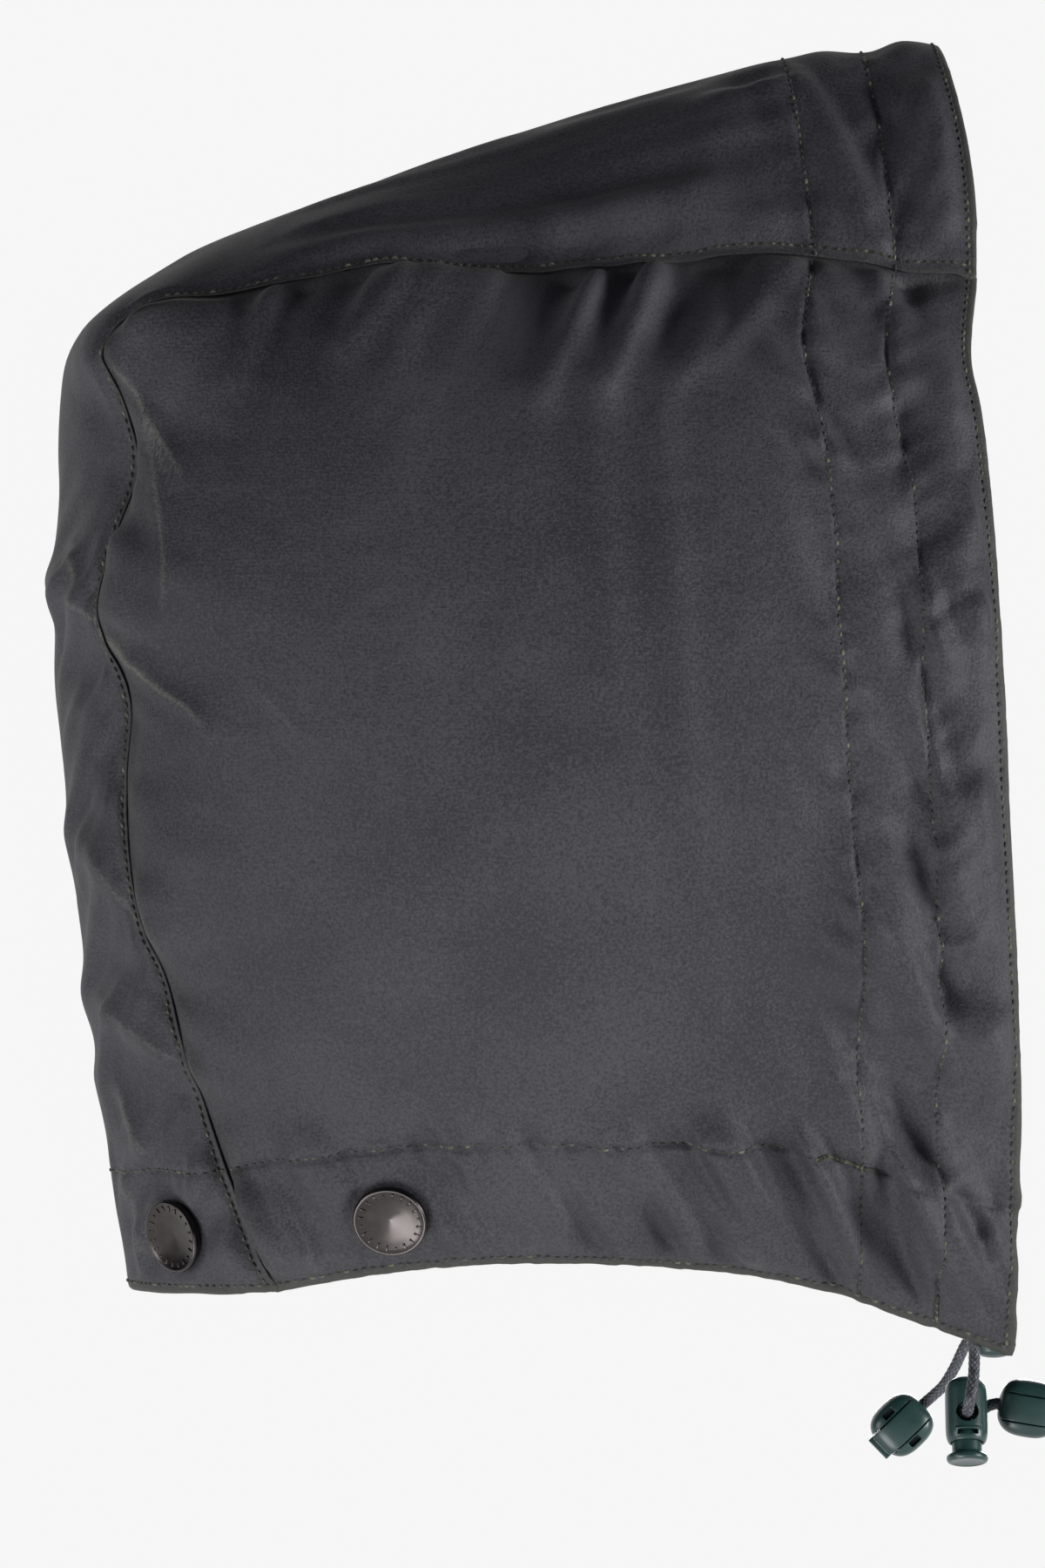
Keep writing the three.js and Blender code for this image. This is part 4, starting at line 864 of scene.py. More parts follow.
def facing_object(name, shell, grid, inwards, step, turned_ends, seed):
    """An inner strip from its rows of points, rubbed along its free edge and any turned ends."""
    index = np.arange(grid.shape[0] * grid.shape[1]).reshape(grid.shape[:2])
    run = np.arange(grid.shape[0])[:, None] * step * np.ones((1, len(inwards)))
    to_edge = (inwards[-1] - inwards)[None, :] * np.ones(run.shape)
    if turned_ends:
        to_edge = np.minimum(to_edge, np.minimum(run, run.max() - run))
    points = grid.reshape(-1, 3)
    weave = np.stack([run.ravel(), np.tile(inwards, grid.shape[0]), 0 * run.ravel()], -1)
    tints = {"olive": 0.6 * bell(to_edge.ravel(), 0, 1.5), "line": np.full(len(points), 9.0),
             "worn": np.zeros(len(points)), "weave": weave}
    return cloth_object(name, points, grid_faces(index), np.full(len(points), shell.cloth_wall),
                        shell.outwards, cloth_colours(points, tints, seed))


def make_face_facing(shell):
    """The inner strip of the face casing, sewn at its middle and its rear edge."""
    step = mm("cloth_step") * 1.15
    count = int(shell.casing_width / step)
    inwards = np.linspace(FACING_START, shell.casing_width + 1.6, count)
    half = shell.casing_width / 2
    deep = mm("cord_diameter") + 0.3
    deepest = np.where(inwards < half, deep, deep / 3)
    hollow = deepest * np.abs(np.sin(math.pi * np.clip(inwards / half, 0, 2)))
    rows = []
    levels = np.linspace(0.005, 0.994, int(shell.face_run[-1] / step))
    for side in (-1, 1):
        v = levels[:, None] * np.ones((1, count))
        u = 1 - inwards[None, :] / shell.row_length(v)
        rows.append(lining_point(shell, side, u, v, shell.coated + hollow[None, :]))
    across = np.linspace(-0.985, 0.985, int(120 / step))
    a, b = np.meshgrid(inwards, across)
    over = lining_point(shell, "crown", a, b, lining_depth(shell, b) + hollow[None, :])
    grid = np.concatenate([rows[0], over, rows[1][::-1]])
    ease_corners(grid, (len(levels), len(levels) + len(across)), 10)
    return facing_object("face_facing_cloth", shell, grid, inwards, step, True, 331)


def make_neck_facing(shell):
    """The inner strip of the hem band, between the two ends of the face casing."""
    step = mm("cloth_step") * 1.15
    count = int((shell.band_height - 5) / step) + 2
    above = np.linspace(FACING_START, shell.band_height + 1.4, count)
    parts = []
    for side in (-1, 1):
        ends = 1 - (shell.casing_width + 6.0) / shell.row_length(above / shell.face_run[-1])
        u = np.linspace(0.996, 0.004, int(185 / step))[:, None] * ends[None, :]
        v = shell.side_share(above[None, :], u)
        parts.append(lining_point(shell, side, u, v, np.full(v.shape, shell.coated)))
    across = np.linspace(-0.985, 0.985, int(120 / step))
    a, b = np.meshgrid(shell.length - above, across)
    over = lining_point(shell, "crown", a, b, lining_depth(shell, b))
    grid = np.concatenate([parts[0], over, parts[1][::-1]])
    ease_corners(grid, (len(parts[0]), len(parts[0]) + len(across)), 8)
    return facing_object("neck_facing_cloth", shell, grid, above, step, False, 341)


# Stitching

def stitch_row(points, normals, seed, sunk=0.12, pitch=None, long=0.72, slant=0.0):
    """Stitches along a line of close points: the points, faces and shades of one row."""
    pitch = pitch or mm("stitch_pitch")
    radius = mm("thread_width") / 2
    rng = np.random.default_rng(seed)
    lengths = run_lengths(points)
    count = max(1, int(lengths[-1] / pitch))
    places = (np.arange(count) + 0.5) * lengths[-1] / count + rng.uniform(-0.08, 0.08, count) * pitch
    centre, normal = follow(places, lengths, points), unit(follow(places, lengths, normals))
    ahead = unit(follow(places + 0.6, lengths, points) - follow(places - 0.6, lengths, points))
    across = unit(np.cross(normal, ahead))
    lean = slant + rng.uniform(-0.06, 0.06, count)
    ahead, across = (ahead * np.cos(lean)[:, None] + across * np.sin(lean)[:, None],
                     across * np.cos(lean)[:, None] - ahead * np.sin(lean)[:, None])
    rings = np.array([-1, -0.82, -0.4, 0, 0.4, 0.82, 1])
    fat = np.array([0.55, 0.85, 1, 1, 1, 0.85, 0.55])
    rise = np.array([-1.5, -0.2, 0.45, 0.6, 0.45, -0.2, -1.5])
    half = pitch * long / 2 * rng.uniform(0.92, 1.05, count)
    corners = 6
    each = corners * len(rings)
    turns = np.arange(corners) * 2 * math.pi / corners
    c, n, t, s = (x[:, None, None, :] for x in (centre, normal, ahead, across))
    along_it = rings[None, :, None, None] * half[:, None, None, None]
    round_it = radius * fat[None, :, None, None]
    up = (rise * radius - sunk)[None, :, None, None] + round_it * np.sin(turns)[None, None, :, None]
    aside = round_it * np.cos(turns)[None, None, :, None]
    verts = (c + t * along_it + n * up + s * aside).reshape(-1, 3)
    ring = np.arange(corners)
    one = []
    for k in range(len(rings) - 1):
        a, b = k * corners + ring, k * corners + (ring + 1) % corners
        one.append(np.stack([a, b, b + corners, a + corners], -1))
    one = np.concatenate(one)
    faces = (one[None] + (np.arange(count) * each)[:, None, None]).reshape(-1, 4)
    ends = []
    for base in (0, each - corners):
        a = np.arange(count)[:, None] * each + base
        for quad in ((0, 1, 2, 3), (0, 3, 4, 5)):
            order = quad if base else quad[::-1]
            ends.append(np.concatenate([a + k for k in order], 1))
    # Painted highlight: a few random stitches are made light, as glints
    shade = rng.random(count) ** 3
    return verts, np.concatenate([faces, *ends]), np.repeat(shade, each)


def stitch_object(name, rows):
    """Rows of stitches as one mesh."""
    points, faces, shades, start = [], [], [], 0
    for verts, quads, shade in rows:
        points.append(verts)
        faces.append(quads + start)
        shades.append(shade)
        start += len(verts)
    return mesh_object(name, np.concatenate(points), np.concatenate(faces),
                       {"shade": np.concatenate(shades)})


def side_stitches(shell, side, u, v, seed, **style):
    """A row of stitches on a side panel."""
    points, normals, relief, _ = shell.side_cloth(u, v, side)
    return stitch_row(points + normals * relief[:, None], normals, seed, **style)


def crown_stitches(shell, reach, across, seed):
    """A row of stitches on the crown panel."""
    points, normals, relief, _ = shell.crown_cloth(reach, across)
    return stitch_row(points + normals * relief[:, None], normals, seed)


def make_stitching(shell):
    """All rows of stitches, in one object for each seam."""
    seam, casing, hem = [], [], []
    reach = np.linspace(2, shell.length - 2, 900)
    for side in (-1, 1):
        across = side * (shell.crown_edge(reach, side) - EDGE_STITCH / CROWN_ARC)
        seam.append(crown_stitches(shell, reach, across, 400 + side))
    v = np.linspace(0.006, 0.998, 500)
    across = np.linspace(-1, 1, 300)
    width = shell.casing_width
    for k, inwards in enumerate((EDGE_STITCH, width / 2, width)):
        for side in (-1, 1):
            u = 1 - inwards / shell.row_length(v)
            casing.append(side_stitches(shell, side, u, v, 410 + 2 * k + side))
        casing.append(crown_stitches(shell, inwards, across, 430 + k))
    row = shell.row_length(np.array([0.1]))[0]
    for k, (above, end) in enumerate(((HEM_STITCH, HEM_STITCH), (shell.band_height + 1, width + 9))):
        for side in (-1, 1):
            u = np.linspace(0.003, 1 - end / row, 500)
            height = above + k * shell.band_rise(u)
            hem.append(side_stitches(shell, side, u, shell.side_share(height, u), 440 + 2 * k + side))
            if k:
                # Close stitches across the band's end, one way and then the other
                for turn, lean in ((0.0, 0.9), (0.35, -0.9)):
                    u = np.linspace(1 - (width + 11) / row, 1 - (width - 4) / row, 60)
                    height = above - 0.2 + turn + shell.band_rise(u)
                    hem.append(side_stitches(shell, side, u, shell.side_share(height, u), 460 + side,
                                             sunk=-0.3, pitch=0.55, long=2.6, slant=lean))
        hem.append(crown_stitches(shell, shell.length - above, across, 470 + k))
    v = np.linspace(0.006, 0.035, 40)
    for side in (-1, 1):
        casing.append(side_stitches(shell, side, 1 - width / 2 / shell.row_length(v), v, 480 + side,
                                    sunk=-0.2, pitch=0.7, long=2.2, slant=0.5))
    return [stitch_object("stitches_seam", seam), stitch_object("stitches_casing", casing),
            stitch_object("stitches_hem", hem)]


def make_inner_stitching(shell):
    """The rows that show on the inner strips."""
    rows = []
    v = np.linspace(0.01, 0.985, 500)
    for k, inwards in enumerate((shell.casing_width / 2, shell.casing_width)):
        for side in (-1, 1):
            u = 1 - inwards / shell.row_length(v)
            _, normals, _, _ = shell.side_cloth(u, v, side)
            line = lining_point(shell, side, u, v, np.full(len(v), shell.coated + shell.cloth_wall))
            rows.append(stitch_row(line, -normals, 490 + 2 * k + side))
    return stitch_object("stitches_inside", rows)


# Materials

def add(tree, kind, settings=None, joins=None):
    """Adds a node, sets its values and joins its inputs to other nodes' outputs."""
    node = tree.nodes.new(kind)
    for key, value in (settings or {}).items():
        if isinstance(key, int) or key in node.inputs:
            node.inputs[key].default_value = value
        else:
            setattr(node, key, value)
    for key, (source, output) in (joins or {}).items():
        tree.links.new(source.outputs[output], node.inputs[key])
    return node


def new_material(name, finish):
    """A material whose nodes come from one function, which gives back its shader."""
    material = bpy.data.materials.new(name)
    material.use_nodes = True
    tree = material.node_tree
    tree.nodes.clear()
    output = add(tree, "ShaderNodeOutputMaterial")
    tree.links.new(finish(tree).outputs[0], output.inputs["Surface"])
    return material


# Colours that go with those of the sidebar: fresh wax, cracked wax, the nap's sheen, dulled plating and
# the paler swirls of the plastic
FRESH_WAX, CRACKED_WAX, NAP_SHEEN, DULLED_PLATE, PALE_SWIRL = (
    (*linear(hex_colour), 1) for hex_colour in ("#43445a", "#8d8c80", "#b9b9a8", "#504c4b", "#2b4a48"))


def waxed_cotton(tree):
    """Waxed cotton: woven, then soaked in wax. The wax gives a dull, patchy sheen over a fine nap, and
    rubbed edges turn olive."""
    place = add(tree, "ShaderNodeTexCoord")
    weave, bloom, olive, line, worn = (add(tree, "ShaderNodeAttribute", {"attribute_name": name})
                                       for name in ("weave", "bloom", "olive", "line", "worn"))
    # Nap and grain of about 0.9 mm, drawn a little coarse so that they show
    grain = add(tree, "ShaderNodeTexNoise", {"Scale": 1300.0, "Detail": 2.0, "Roughness": 0.7},
                {"Vector": (place, "Object")})
    patches = add(tree, "ShaderNodeTexNoise", {"Scale": 26.0, "Detail": 4.0, "Roughness": 0.55},
                  {"Vector": (place, "Object")})
    # Painted light: lighter towards the hem, the face edge and the upper part, with random tone and the
    # cloth's patches and grain
    level = add(tree, "ShaderNodeMath", {"operation": "MULTIPLY_ADD", 1: 0.3, 2: -1.55}, {0: (bloom, "Fac")})
    level = add(tree, "ShaderNodeMath", {"operation": "MULTIPLY_ADD", 1: 0.8},
                {0: (patches, "Fac"), 2: (level, 0)})
    level = add(tree, "ShaderNodeMath", {"operation": "MULTIPLY_ADD", 1: 3.2, "use_clamp": True},
                {0: (grain, "Fac"), 2: (level, 0)})
    base = add(tree, "ShaderNodeMix", {"data_type": "RGBA", 6: colour("cloth_dark"), 7: colour("cloth")},
               {0: (level, 0)})
    # Olive where edges are rubbed, and painted shade in a band below the crown's edge on the side panels
    rubbed = add(tree, "ShaderNodeMath", {"operation": "MULTIPLY", 1: 0.65, "use_clamp": True},
                 {0: (olive, "Fac")})
    base = add(tree, "ShaderNodeMix", {"data_type": "RGBA", 7: colour("cloth_olive")},
               {0: (rubbed, 0), 6: (base, 2)})
    # Bluish patches where the wax is fresh, 20 mm and more across
    cold = add(tree, "ShaderNodeTexNoise", {"Scale": 34.0, "Detail": 2.0, "Roughness": 0.5},
               {"Vector": (weave, "Vector")})
    cold = add(tree, "ShaderNodeMapRange", {"From Min": 0.55, "From Max": 0.75, "To Max": 0.5},
               {"Value": (cold, "Fac")})
    base = add(tree, "ShaderNodeMix", {"data_type": "RGBA", 7: FRESH_WAX},
               {0: (cold, "Result"), 6: (base, 2)})
    # Wax that has cracked along a sharp crease shows as a thin pale line, 1 mm wide
    near = add(tree, "ShaderNodeMath", {"operation": "ABSOLUTE"}, {0: (line, "Fac")})
    near = add(tree, "ShaderNodeMapRange", {"From Min": 0.1, "From Max": 1.1, "To Min": 0.5, "To Max": 0.0},
               {"Value": (near, 0)})
    broken = add(tree, "ShaderNodeMath", {"operation": "MULTIPLY_ADD", 1: 2.4, 2: -0.5, "use_clamp": True},
                 {0: (grain, "Fac")})
    near = add(tree, "ShaderNodeMath", {"operation": "MULTIPLY"}, {0: (near, "Result"), 1: (worn, "Fac")})
    near = add(tree, "ShaderNodeMath", {"operation": "MULTIPLY"}, {0: (near, 0), 1: (broken, 0)})
    base = add(tree, "ShaderNodeMix", {"data_type": "RGBA", 7: CRACKED_WAX},
               {0: (near, 0), 6: (base, 2)})
    rough = add(tree, "ShaderNodeMapRange", {"To Min": 0.54, "To Max": 0.72}, {"Value": (patches, "Fac")})
    # Plain weave with threads 0.5 mm apart
    warp, weft = (add(tree, "ShaderNodeTexWave", {"Scale": 0.314, "bands_direction": way},
                      {"Vector": (weave, "Vector")}) for way in ("X", "Y"))
    threads = add(tree, "ShaderNodeMath", {"operation": "ADD"}, {0: (warp, "Fac"), 1: (weft, "Fac")})
    fine = add(tree, "ShaderNodeBump", {"Strength": 0.12, "Distance": 0.0001}, {"Height": (threads, 0)})
    bump = add(tree, "ShaderNodeBump", {"Strength": 0.7, "Distance": 0.0003},
               {"Height": (grain, "Fac"), "Normal": (fine, "Normal")})
    return add(tree, "ShaderNodeBsdfPrincipled", {
        "IOR": 1.45, "Sheen Weight": 0.12, "Sheen Roughness": 0.45, "Sheen Tint": NAP_SHEEN},
        {"Base Color": (base, 2), "Roughness": (rough, "Result"), "Normal": (bump, "Normal")})


def cotton_thread(tree):
    """Polyester-cotton sewing thread, waxed with the cloth: dark, with a few stitches painted light as
    glints.
    """
    shade = add(tree, "ShaderNodeAttribute", {"attribute_name": "shade"})
    place = add(tree, "ShaderNodeTexCoord")
    ply = add(tree, "ShaderNodeTexNoise", {"Scale": 4000.0, "Detail": 2.0}, {"Vector": (place, "Object")})
    base = add(tree, "ShaderNodeMix", {"data_type": "RGBA", 6: colour("thread"), 7: colour("thread_painted_glint")},
               {0: (shade, "Fac")})
    bump = add(tree, "ShaderNodeBump", {"Strength": 0.4, "Distance": 0.00008}, {"Height": (ply, "Fac")})
    return add(tree, "ShaderNodeBsdfPrincipled", {"Roughness": 0.62, "IOR": 1.5, "Sheen Weight": 0.2},
                 {"Base Color": (base, 2), "Normal": (bump, "Normal")})


def gunmetal_plate(tree):
    """Brass with a polished gunmetal plating: a dark mirror, smokier where fingers have dulled it."""
    place = add(tree, "ShaderNodeTexCoord")
    haze = add(tree, "ShaderNodeTexNoise", {"Scale": 260.0, "Detail": 4.0}, {"Vector": (place, "Object")})
    rough = add(tree, "ShaderNodeMapRange", {"To Min": 0.17, "To Max": 0.28}, {"Value": (haze, "Fac")})
    tone = add(tree, "ShaderNodeMix", {"data_type": "RGBA", 6: colour("metal"), 7: DULLED_PLATE},
               {0: (haze, "Fac")})
    bump = add(tree, "ShaderNodeBump", {"Strength": 0.08, "Distance": 0.0001}, {"Height": (haze, "Fac")})
    return add(tree, "ShaderNodeBsdfPrincipled", {"Metallic": 1.0},
                 {"Base Color": (tone, 2), "Roughness": (rough, "Result"), "Normal": (bump, "Normal")})


def moulded_acetal(tree):
    """Acetal, injection moulded: dark green with a waxy gloss and the faint ripple of a mould."""
    place = add(tree, "ShaderNodeTexCoord")
    flow = add(tree, "ShaderNodeTexNoise", {"Scale": 320.0, "Detail": 3.0}, {"Vector": (place, "Object")})
    base = add(tree, "ShaderNodeMix", {"data_type": "RGBA", 6: colour("plastic"), 7: PALE_SWIRL},
               {0: (flow, "Fac")})
    rough = add(tree, "ShaderNodeMapRange", {"To Min": 0.26, "To Max": 0.4}, {"Value": (flow, "Fac")})
    bump = add(tree, "ShaderNodeBump", {"Strength": 0.06, "Distance": 0.0002}, {"Height": (flow, "Fac")})
    return add(tree, "ShaderNodeBsdfPrincipled", {"IOR": 1.48, "Coat Weight": 0.15, "Coat Roughness": 0.2},
                 {"Base Color": (base, 2), "Roughness": (rough, "Result"), "Normal": (bump, "Normal")})


def braided_polyester(tree):
    """Polyester yarn, braided: dark strands with a few light ones and a soft shine, with painted shade
    between the strands.
    """
    shade = add(tree, "ShaderNodeAttribute", {"attribute_name": "shade"})
    # The dark colour also serves as painted shade in the gaps between strands
    base = add(tree, "ShaderNodeMix", {"data_type": "RGBA", 6: colour("cord"), 7: colour("cord_light")},
               {0: (shade, "Fac")})
    place = add(tree, "ShaderNodeTexCoord")
    yarn = add(tree, "ShaderNodeTexNoise", {"Scale": 5000.0, "Detail": 2.0}, {"Vector": (place, "Object")})
    bump = add(tree, "ShaderNodeBump", {"Strength": 0.4, "Distance": 0.00006}, {"Height": (yarn, "Fac")})
    return add(tree, "ShaderNodeBsdfPrincipled", {"Roughness": 0.5, "IOR": 1.53, "Sheen Weight": 0.3},
                 {"Base Color": (base, 2), "Normal": (bump, "Normal")})


MATERIALS = {
    "cloth": ("waxed_cotton", waxed_cotton),
    "thread": ("core_spun_thread", cotton_thread),
    "stud": ("gunmetal_plated_brass", gunmetal_plate),
    "plastic": ("moulded_acetal", moulded_acetal),
    "cord": ("braided_polyester", braided_polyester),
}


def dress(thing, kind, body="hood"):
    """Gives a piece its material and the body it rides on."""
    name, finish = MATERIALS[kind]
    material = bpy.data.materials.get(name) or new_material(name, finish)
    thing.data.materials.clear()
    thing.data.materials.append(material)
    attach(thing, body)
    return thing


# Hard pieces

def turned_rings(profile, sides):
    """Rings of points about the Z axis, one for each radius and height."""
    turns = np.arange(sides) * 2 * math.pi / sides
    return np.stack([profile[:, None, 0] * np.cos(turns), profile[:, None, 0] * np.sin(turns),
                     profile[:, None, 1] + 0 * turns], -1).reshape(-1, 3)


def lathe(name, profile, sides, place=None):
    """A turned shape about its own Z axis, from radius and height pairs in millimetres."""
    profile = np.array(profile, float)
    count = len(profile) - 2
    ends = [[0, 0, profile[0, 1]], [0, 0, profile[-1, 1]]]
    points = np.concatenate([turned_rings(profile[1:-1], sides), ends])
    faces = []
    for k in range(count - 1):
        for j in range(sides):
            i = (j + 1) % sides
            faces.append((k * sides + j, (k + 1) * sides + j, (k + 1) * sides + i, k * sides + i))
    first, last = len(points) - 2, len(points) - 1
    for j in range(sides):
        i = (j + 1) % sides
        faces.append((first, j, i))
        faces.append((last, (count - 1) * sides + i, (count - 1) * sides + j))
    thing = mesh_object(name, points, faces)
    if place is not None:
        thing.data.transform(place)
    return thing


def block(name, size, centre):
    """A box in millimetres, used only to cut with."""
    x, y, z = (s / 2 for s in size)
    points = [(i * x + centre[0], j * y + centre[1], k * z + centre[2])
              for i in (-1, 1) for j in (-1, 1) for k in (-1, 1)]
    faces = [(0, 1, 3, 2), (4, 6, 7, 5), (0, 4, 5, 1), (2, 3, 7, 6), (0, 2, 6, 4), (1, 5, 7, 3)]
    return mesh_object(name, points, faces)


def apply_modifiers(thing):
    """Fixes a piece's modifiers into its mesh."""
    graph = bpy.context.evaluated_depsgraph_get()
    mesh = bpy.data.meshes.new_from_object(thing.evaluated_get(graph))
    old = thing.data
    thing.modifiers.clear()
    thing.data = mesh
    bpy.data.meshes.remove(old)


def carve(thing, tools, operation="DIFFERENCE"):
    """Cuts tools out of a piece, or joins them to it, and removes them."""
    for tool in tools:
        step = thing.modifiers.new("carve", "BOOLEAN")
        step.operation, step.solver, step.object = operation, "EXACT", tool
    apply_modifiers(thing)
    for tool in tools:
        bpy.data.objects.remove(tool)


def round_edges(thing):
    """Rounds a stud's sharp edges a little, as stamping leaves them."""
    bevel = thing.modifiers.new("edge", "BEVEL")
    bevel.width, bevel.segments, bevel.limit_method = 0.12 * MM, 2, "ANGLE"
    apply_modifiers(thing)


def soften(thing, rounds=3):
    """Rounds a moulded piece's edges: a fine remesh, smoothed and thinned again."""
    step = thing.modifiers.new("voxels", "REMESH")
    step.mode, step.voxel_size = "VOXEL", VOXEL * MM
    step = thing.modifiers.new("smooth", "SMOOTH")
    step.iterations, step.factor = rounds, 0.5
    step = thing.modifiers.new("thin", "DECIMATE")
    step.ratio = 0.3
    apply_modifiers(thing)
    thing.data.polygons.foreach_set("use_smooth", [True] * len(thing.data.polygons))


def stud_frame(shell, name):
    """Where a stud sits: its matrix, its place and its outward normal."""
    point, normal = shell.studs[name]
    turn = Vector((0, 0, 1)).rotation_difference(Vector(normal)).to_matrix().to_4x4()
    return Matrix.Translation(Vector(point) * MM) @ turn, np.array(point), np.array(normal)


def node_level(node, point, normal, top):
    """Highest or lowest level of a CAD node along a stud's normal, in millimetres."""
    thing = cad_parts[node]
    thing = bpy.data.objects[thing] if isinstance(thing, str) else thing
    levels = [(np.array(v.co) / MM - point) @ normal for v in thing.data.vertices]
    return max(levels) if top else min(levels)


def make_stud_cap(shell, name):
    """A press stud's cap: a shallow dish in a ring of small raised marks, with a rolled rim."""
    place, point, normal = stud_frame(shell, name)
    radius, height = mm("cap_diameter") / 2, mm("cap_height")
    level = node_level(f"stud_cap_{name}", point, normal, True) - height
    profile = [(0, 0.36), (0.06, 0.38), (0.3, 0.52), (0.5, 0.64), (0.62, 0.72), (0.67, 0.76), (0.8, 0.86),
               (0.885, 0.93), (0.915, 0.985), (0.94, 1.0), (0.965, 0.975), (0.985, 0.88), (1.0, 0.62),
               (0.995, 0.4), (0.97, 0.18), (0.93, 0.04), (0.88, 0.0), (0.6, 0.0)]
    profile = [(r * radius, h * height + level) for r, h in profile] + [(0, level)]
    cap = lathe(f"stud_face_{name}", profile, 96)
    marks, count = [], 20
    for k in range(count):
        angle = 2 * math.pi * k / count
        # Every fifth mark is short
        mark = block("mark", (1.5 if k % 5 else 0.7, 0.6, 0.5), (0, 0, 0))
        round_edges(mark)
        lift = Vector((0.78 * radius, 0, level + 0.845 * height)) * MM
        tilt = Matrix.Rotation(-0.19, 4, "Y")
        mark.data.transform(Matrix.Rotation(angle, 4, "Z") @ Matrix.Translation(lift) @ tilt)
        marks.append(mark)
    join_into(cap, marks)
    cap.data.transform(place)
    return dress(cap, "stud")


def join_into(thing, others):
    """Adds other meshes to a piece's own and removes their objects."""
    points = [np.array([v.co for v in thing.data.vertices]) / MM]
    faces = [tuple(p.vertices) for p in thing.data.polygons]
    start = len(points[0])
    for other in others:
        points.append(np.array([v.co for v in other.data.vertices]) / MM)
        faces += [tuple(k + start for k in p.vertices) for p in other.data.polygons]
        start += len(points[-1])
        bpy.data.objects.remove(other)
    mesh = bpy.data.meshes.new(thing.name)
    mesh.from_pydata((np.concatenate(points) * MM).tolist(), [], faces)
    mesh.polygons.foreach_set("use_smooth", [True] * len(faces))
    thing.data = mesh


def make_stud_socket(shell, name):
    """A press stud's socket on the inside: a rolled ring round its mouth."""
    place, point, normal = stud_frame(shell, name)
    low = node_level(f"stud_socket_{name}", point, normal, False)
    high = node_level(f"stud_socket_{name}", point, normal, True)
    outer, bore, mouth = 6.3, 2.5, 3.6
    ring = [(bore, high), (outer * 0.94, high), (outer, high - 0.5), (outer, low + 0.6), (outer * 0.94, low),
            (mouth * 1.15, low), (mouth, low + 0.25), (mouth, low + 1.8), (bore, low + 1.8)]
    sides = 72
    faces = []
    for k in range(len(ring)):
        n = (k + 1) % len(ring)
        for j in range(sides):
            i = (j + 1) % sides
            faces.append((k * sides + j, k * sides + i, n * sides + i, n * sides + j))
    socket = mesh_object(f"stud_back_{name}", turned_rings(np.array(ring), sides), faces)
    round_edges(socket)
    socket.data.transform(place)
    return dress(socket, "stud")


def lock_matrix(side):
    """Where a cord lock hangs, and how it is turned."""
    place, tilt = LOCK_PLACES[side]
    return Matrix.Translation(Vector(place) * MM) @ Matrix.Rotation(math.radians(tilt), 4, "X")


def make_lock_barrel(side):
    """The barrel of a cord lock: a domed tube with the cord's hole and a lipped slot near its foot."""
    radius, length = mm("lock_diameter") / 2, mm("lock_length")
    top, foot, bore = LOCK_TOP, LOCK_TOP - length, radius - 1.3
    profile = [(0, top), (1.6, top - 0.05), (3.2, top - 0.35), (4.5, top - 1.1), (5.2, top - 2.1),
               (5.45, top - 3.4), (radius, top - 6), (radius, foot + 4), (radius * 0.985, foot + 2.2),
               (radius * 0.94, foot + 1.0), (radius * 0.88, foot + 0.2), (radius * 0.82, foot),
               (bore, foot + 0.3), (bore, top - 2.6), (0, top - 2.6)]
    barrel = lathe("lock_body_" + side, profile, 72)
    # The cord's hole narrows towards the back
    hole = lathe("hole", [(0, 9), (2.8, 9), (2.8, 0.5), (1.75, -0.5), (1.75, -9), (0, -9)], 40,
                 Matrix.Rotation(math.pi / 2, 4, "X"))
    slot = block("slot", (5.2, 5, 1.1), (0, -radius, foot + 2.1))
    carve(barrel, [hole, slot])
    lip = lathe("lip", [(0, foot + 3.4), (radius + 0.28, foot + 3.2), (radius + 0.3, foot + 2.75),
                        (0, foot + 2.7)], 72)
    keep = block("keep", (6.4, 6, 3), (0, -radius - 0.6, foot + 3))
    carve(lip, [keep], "INTERSECT")
    inside = lathe("inside", [(0, top), (bore + 0.4, top), (bore + 0.4, foot - 1), (0, foot - 1)], 40)
    carve(lip, [inside])
    carve(barrel, [lip], "UNION")
    soften(barrel)
    barrel.data.transform(lock_matrix(side))
    return dress(barrel, "plastic")


def make_lock_plunger(side):
    """The sprung plunger of a cord lock, with its dished button."""
    foot = LOCK_TOP - mm("lock_length")
    slot_half = mm("cord_diameter") / 2 + 0.3
    neck, button, under = 3.9, 5.4, foot - 3.0
    profile = [(0, slot_half + 1.4), (neck, slot_half + 1.4), (neck, under + 0.6),
               (neck * 1.06, under + 0.2), (button * 0.9, under - 0.05), (button, under - 0.6),
               (button, under - 1.4), (button * 0.93, under - 2.0), (button * 0.8, under - 2.15),
               (button * 0.66, under - 1.95), (button * 0.3, under - 1.8), (0, under - 1.75)]
    plunger = lathe("lock_button_" + side, profile, 72)
    gap = block("gap", (2 * slot_half, 24, 2 * slot_half + 2.6), (0, 0, -1.3))
    carve(plunger, [gap])
    soften(plunger)
    plunger.data.transform(lock_matrix(side))
    return dress(plunger, "plastic", "plunger_" + side)


def end_matrix(side):
    """Where a cord end hangs, with its length along the cord."""
    place, ahead = CORD_END_PLACES[side]
    x = Vector(ahead).normalized()
    z = Vector((0, -1, 0))
    y = z.cross(x)
    turn = Matrix((x, y, z)).transposed().to_4x4()
    return Matrix.Translation(Vector(place) * MM) @ turn


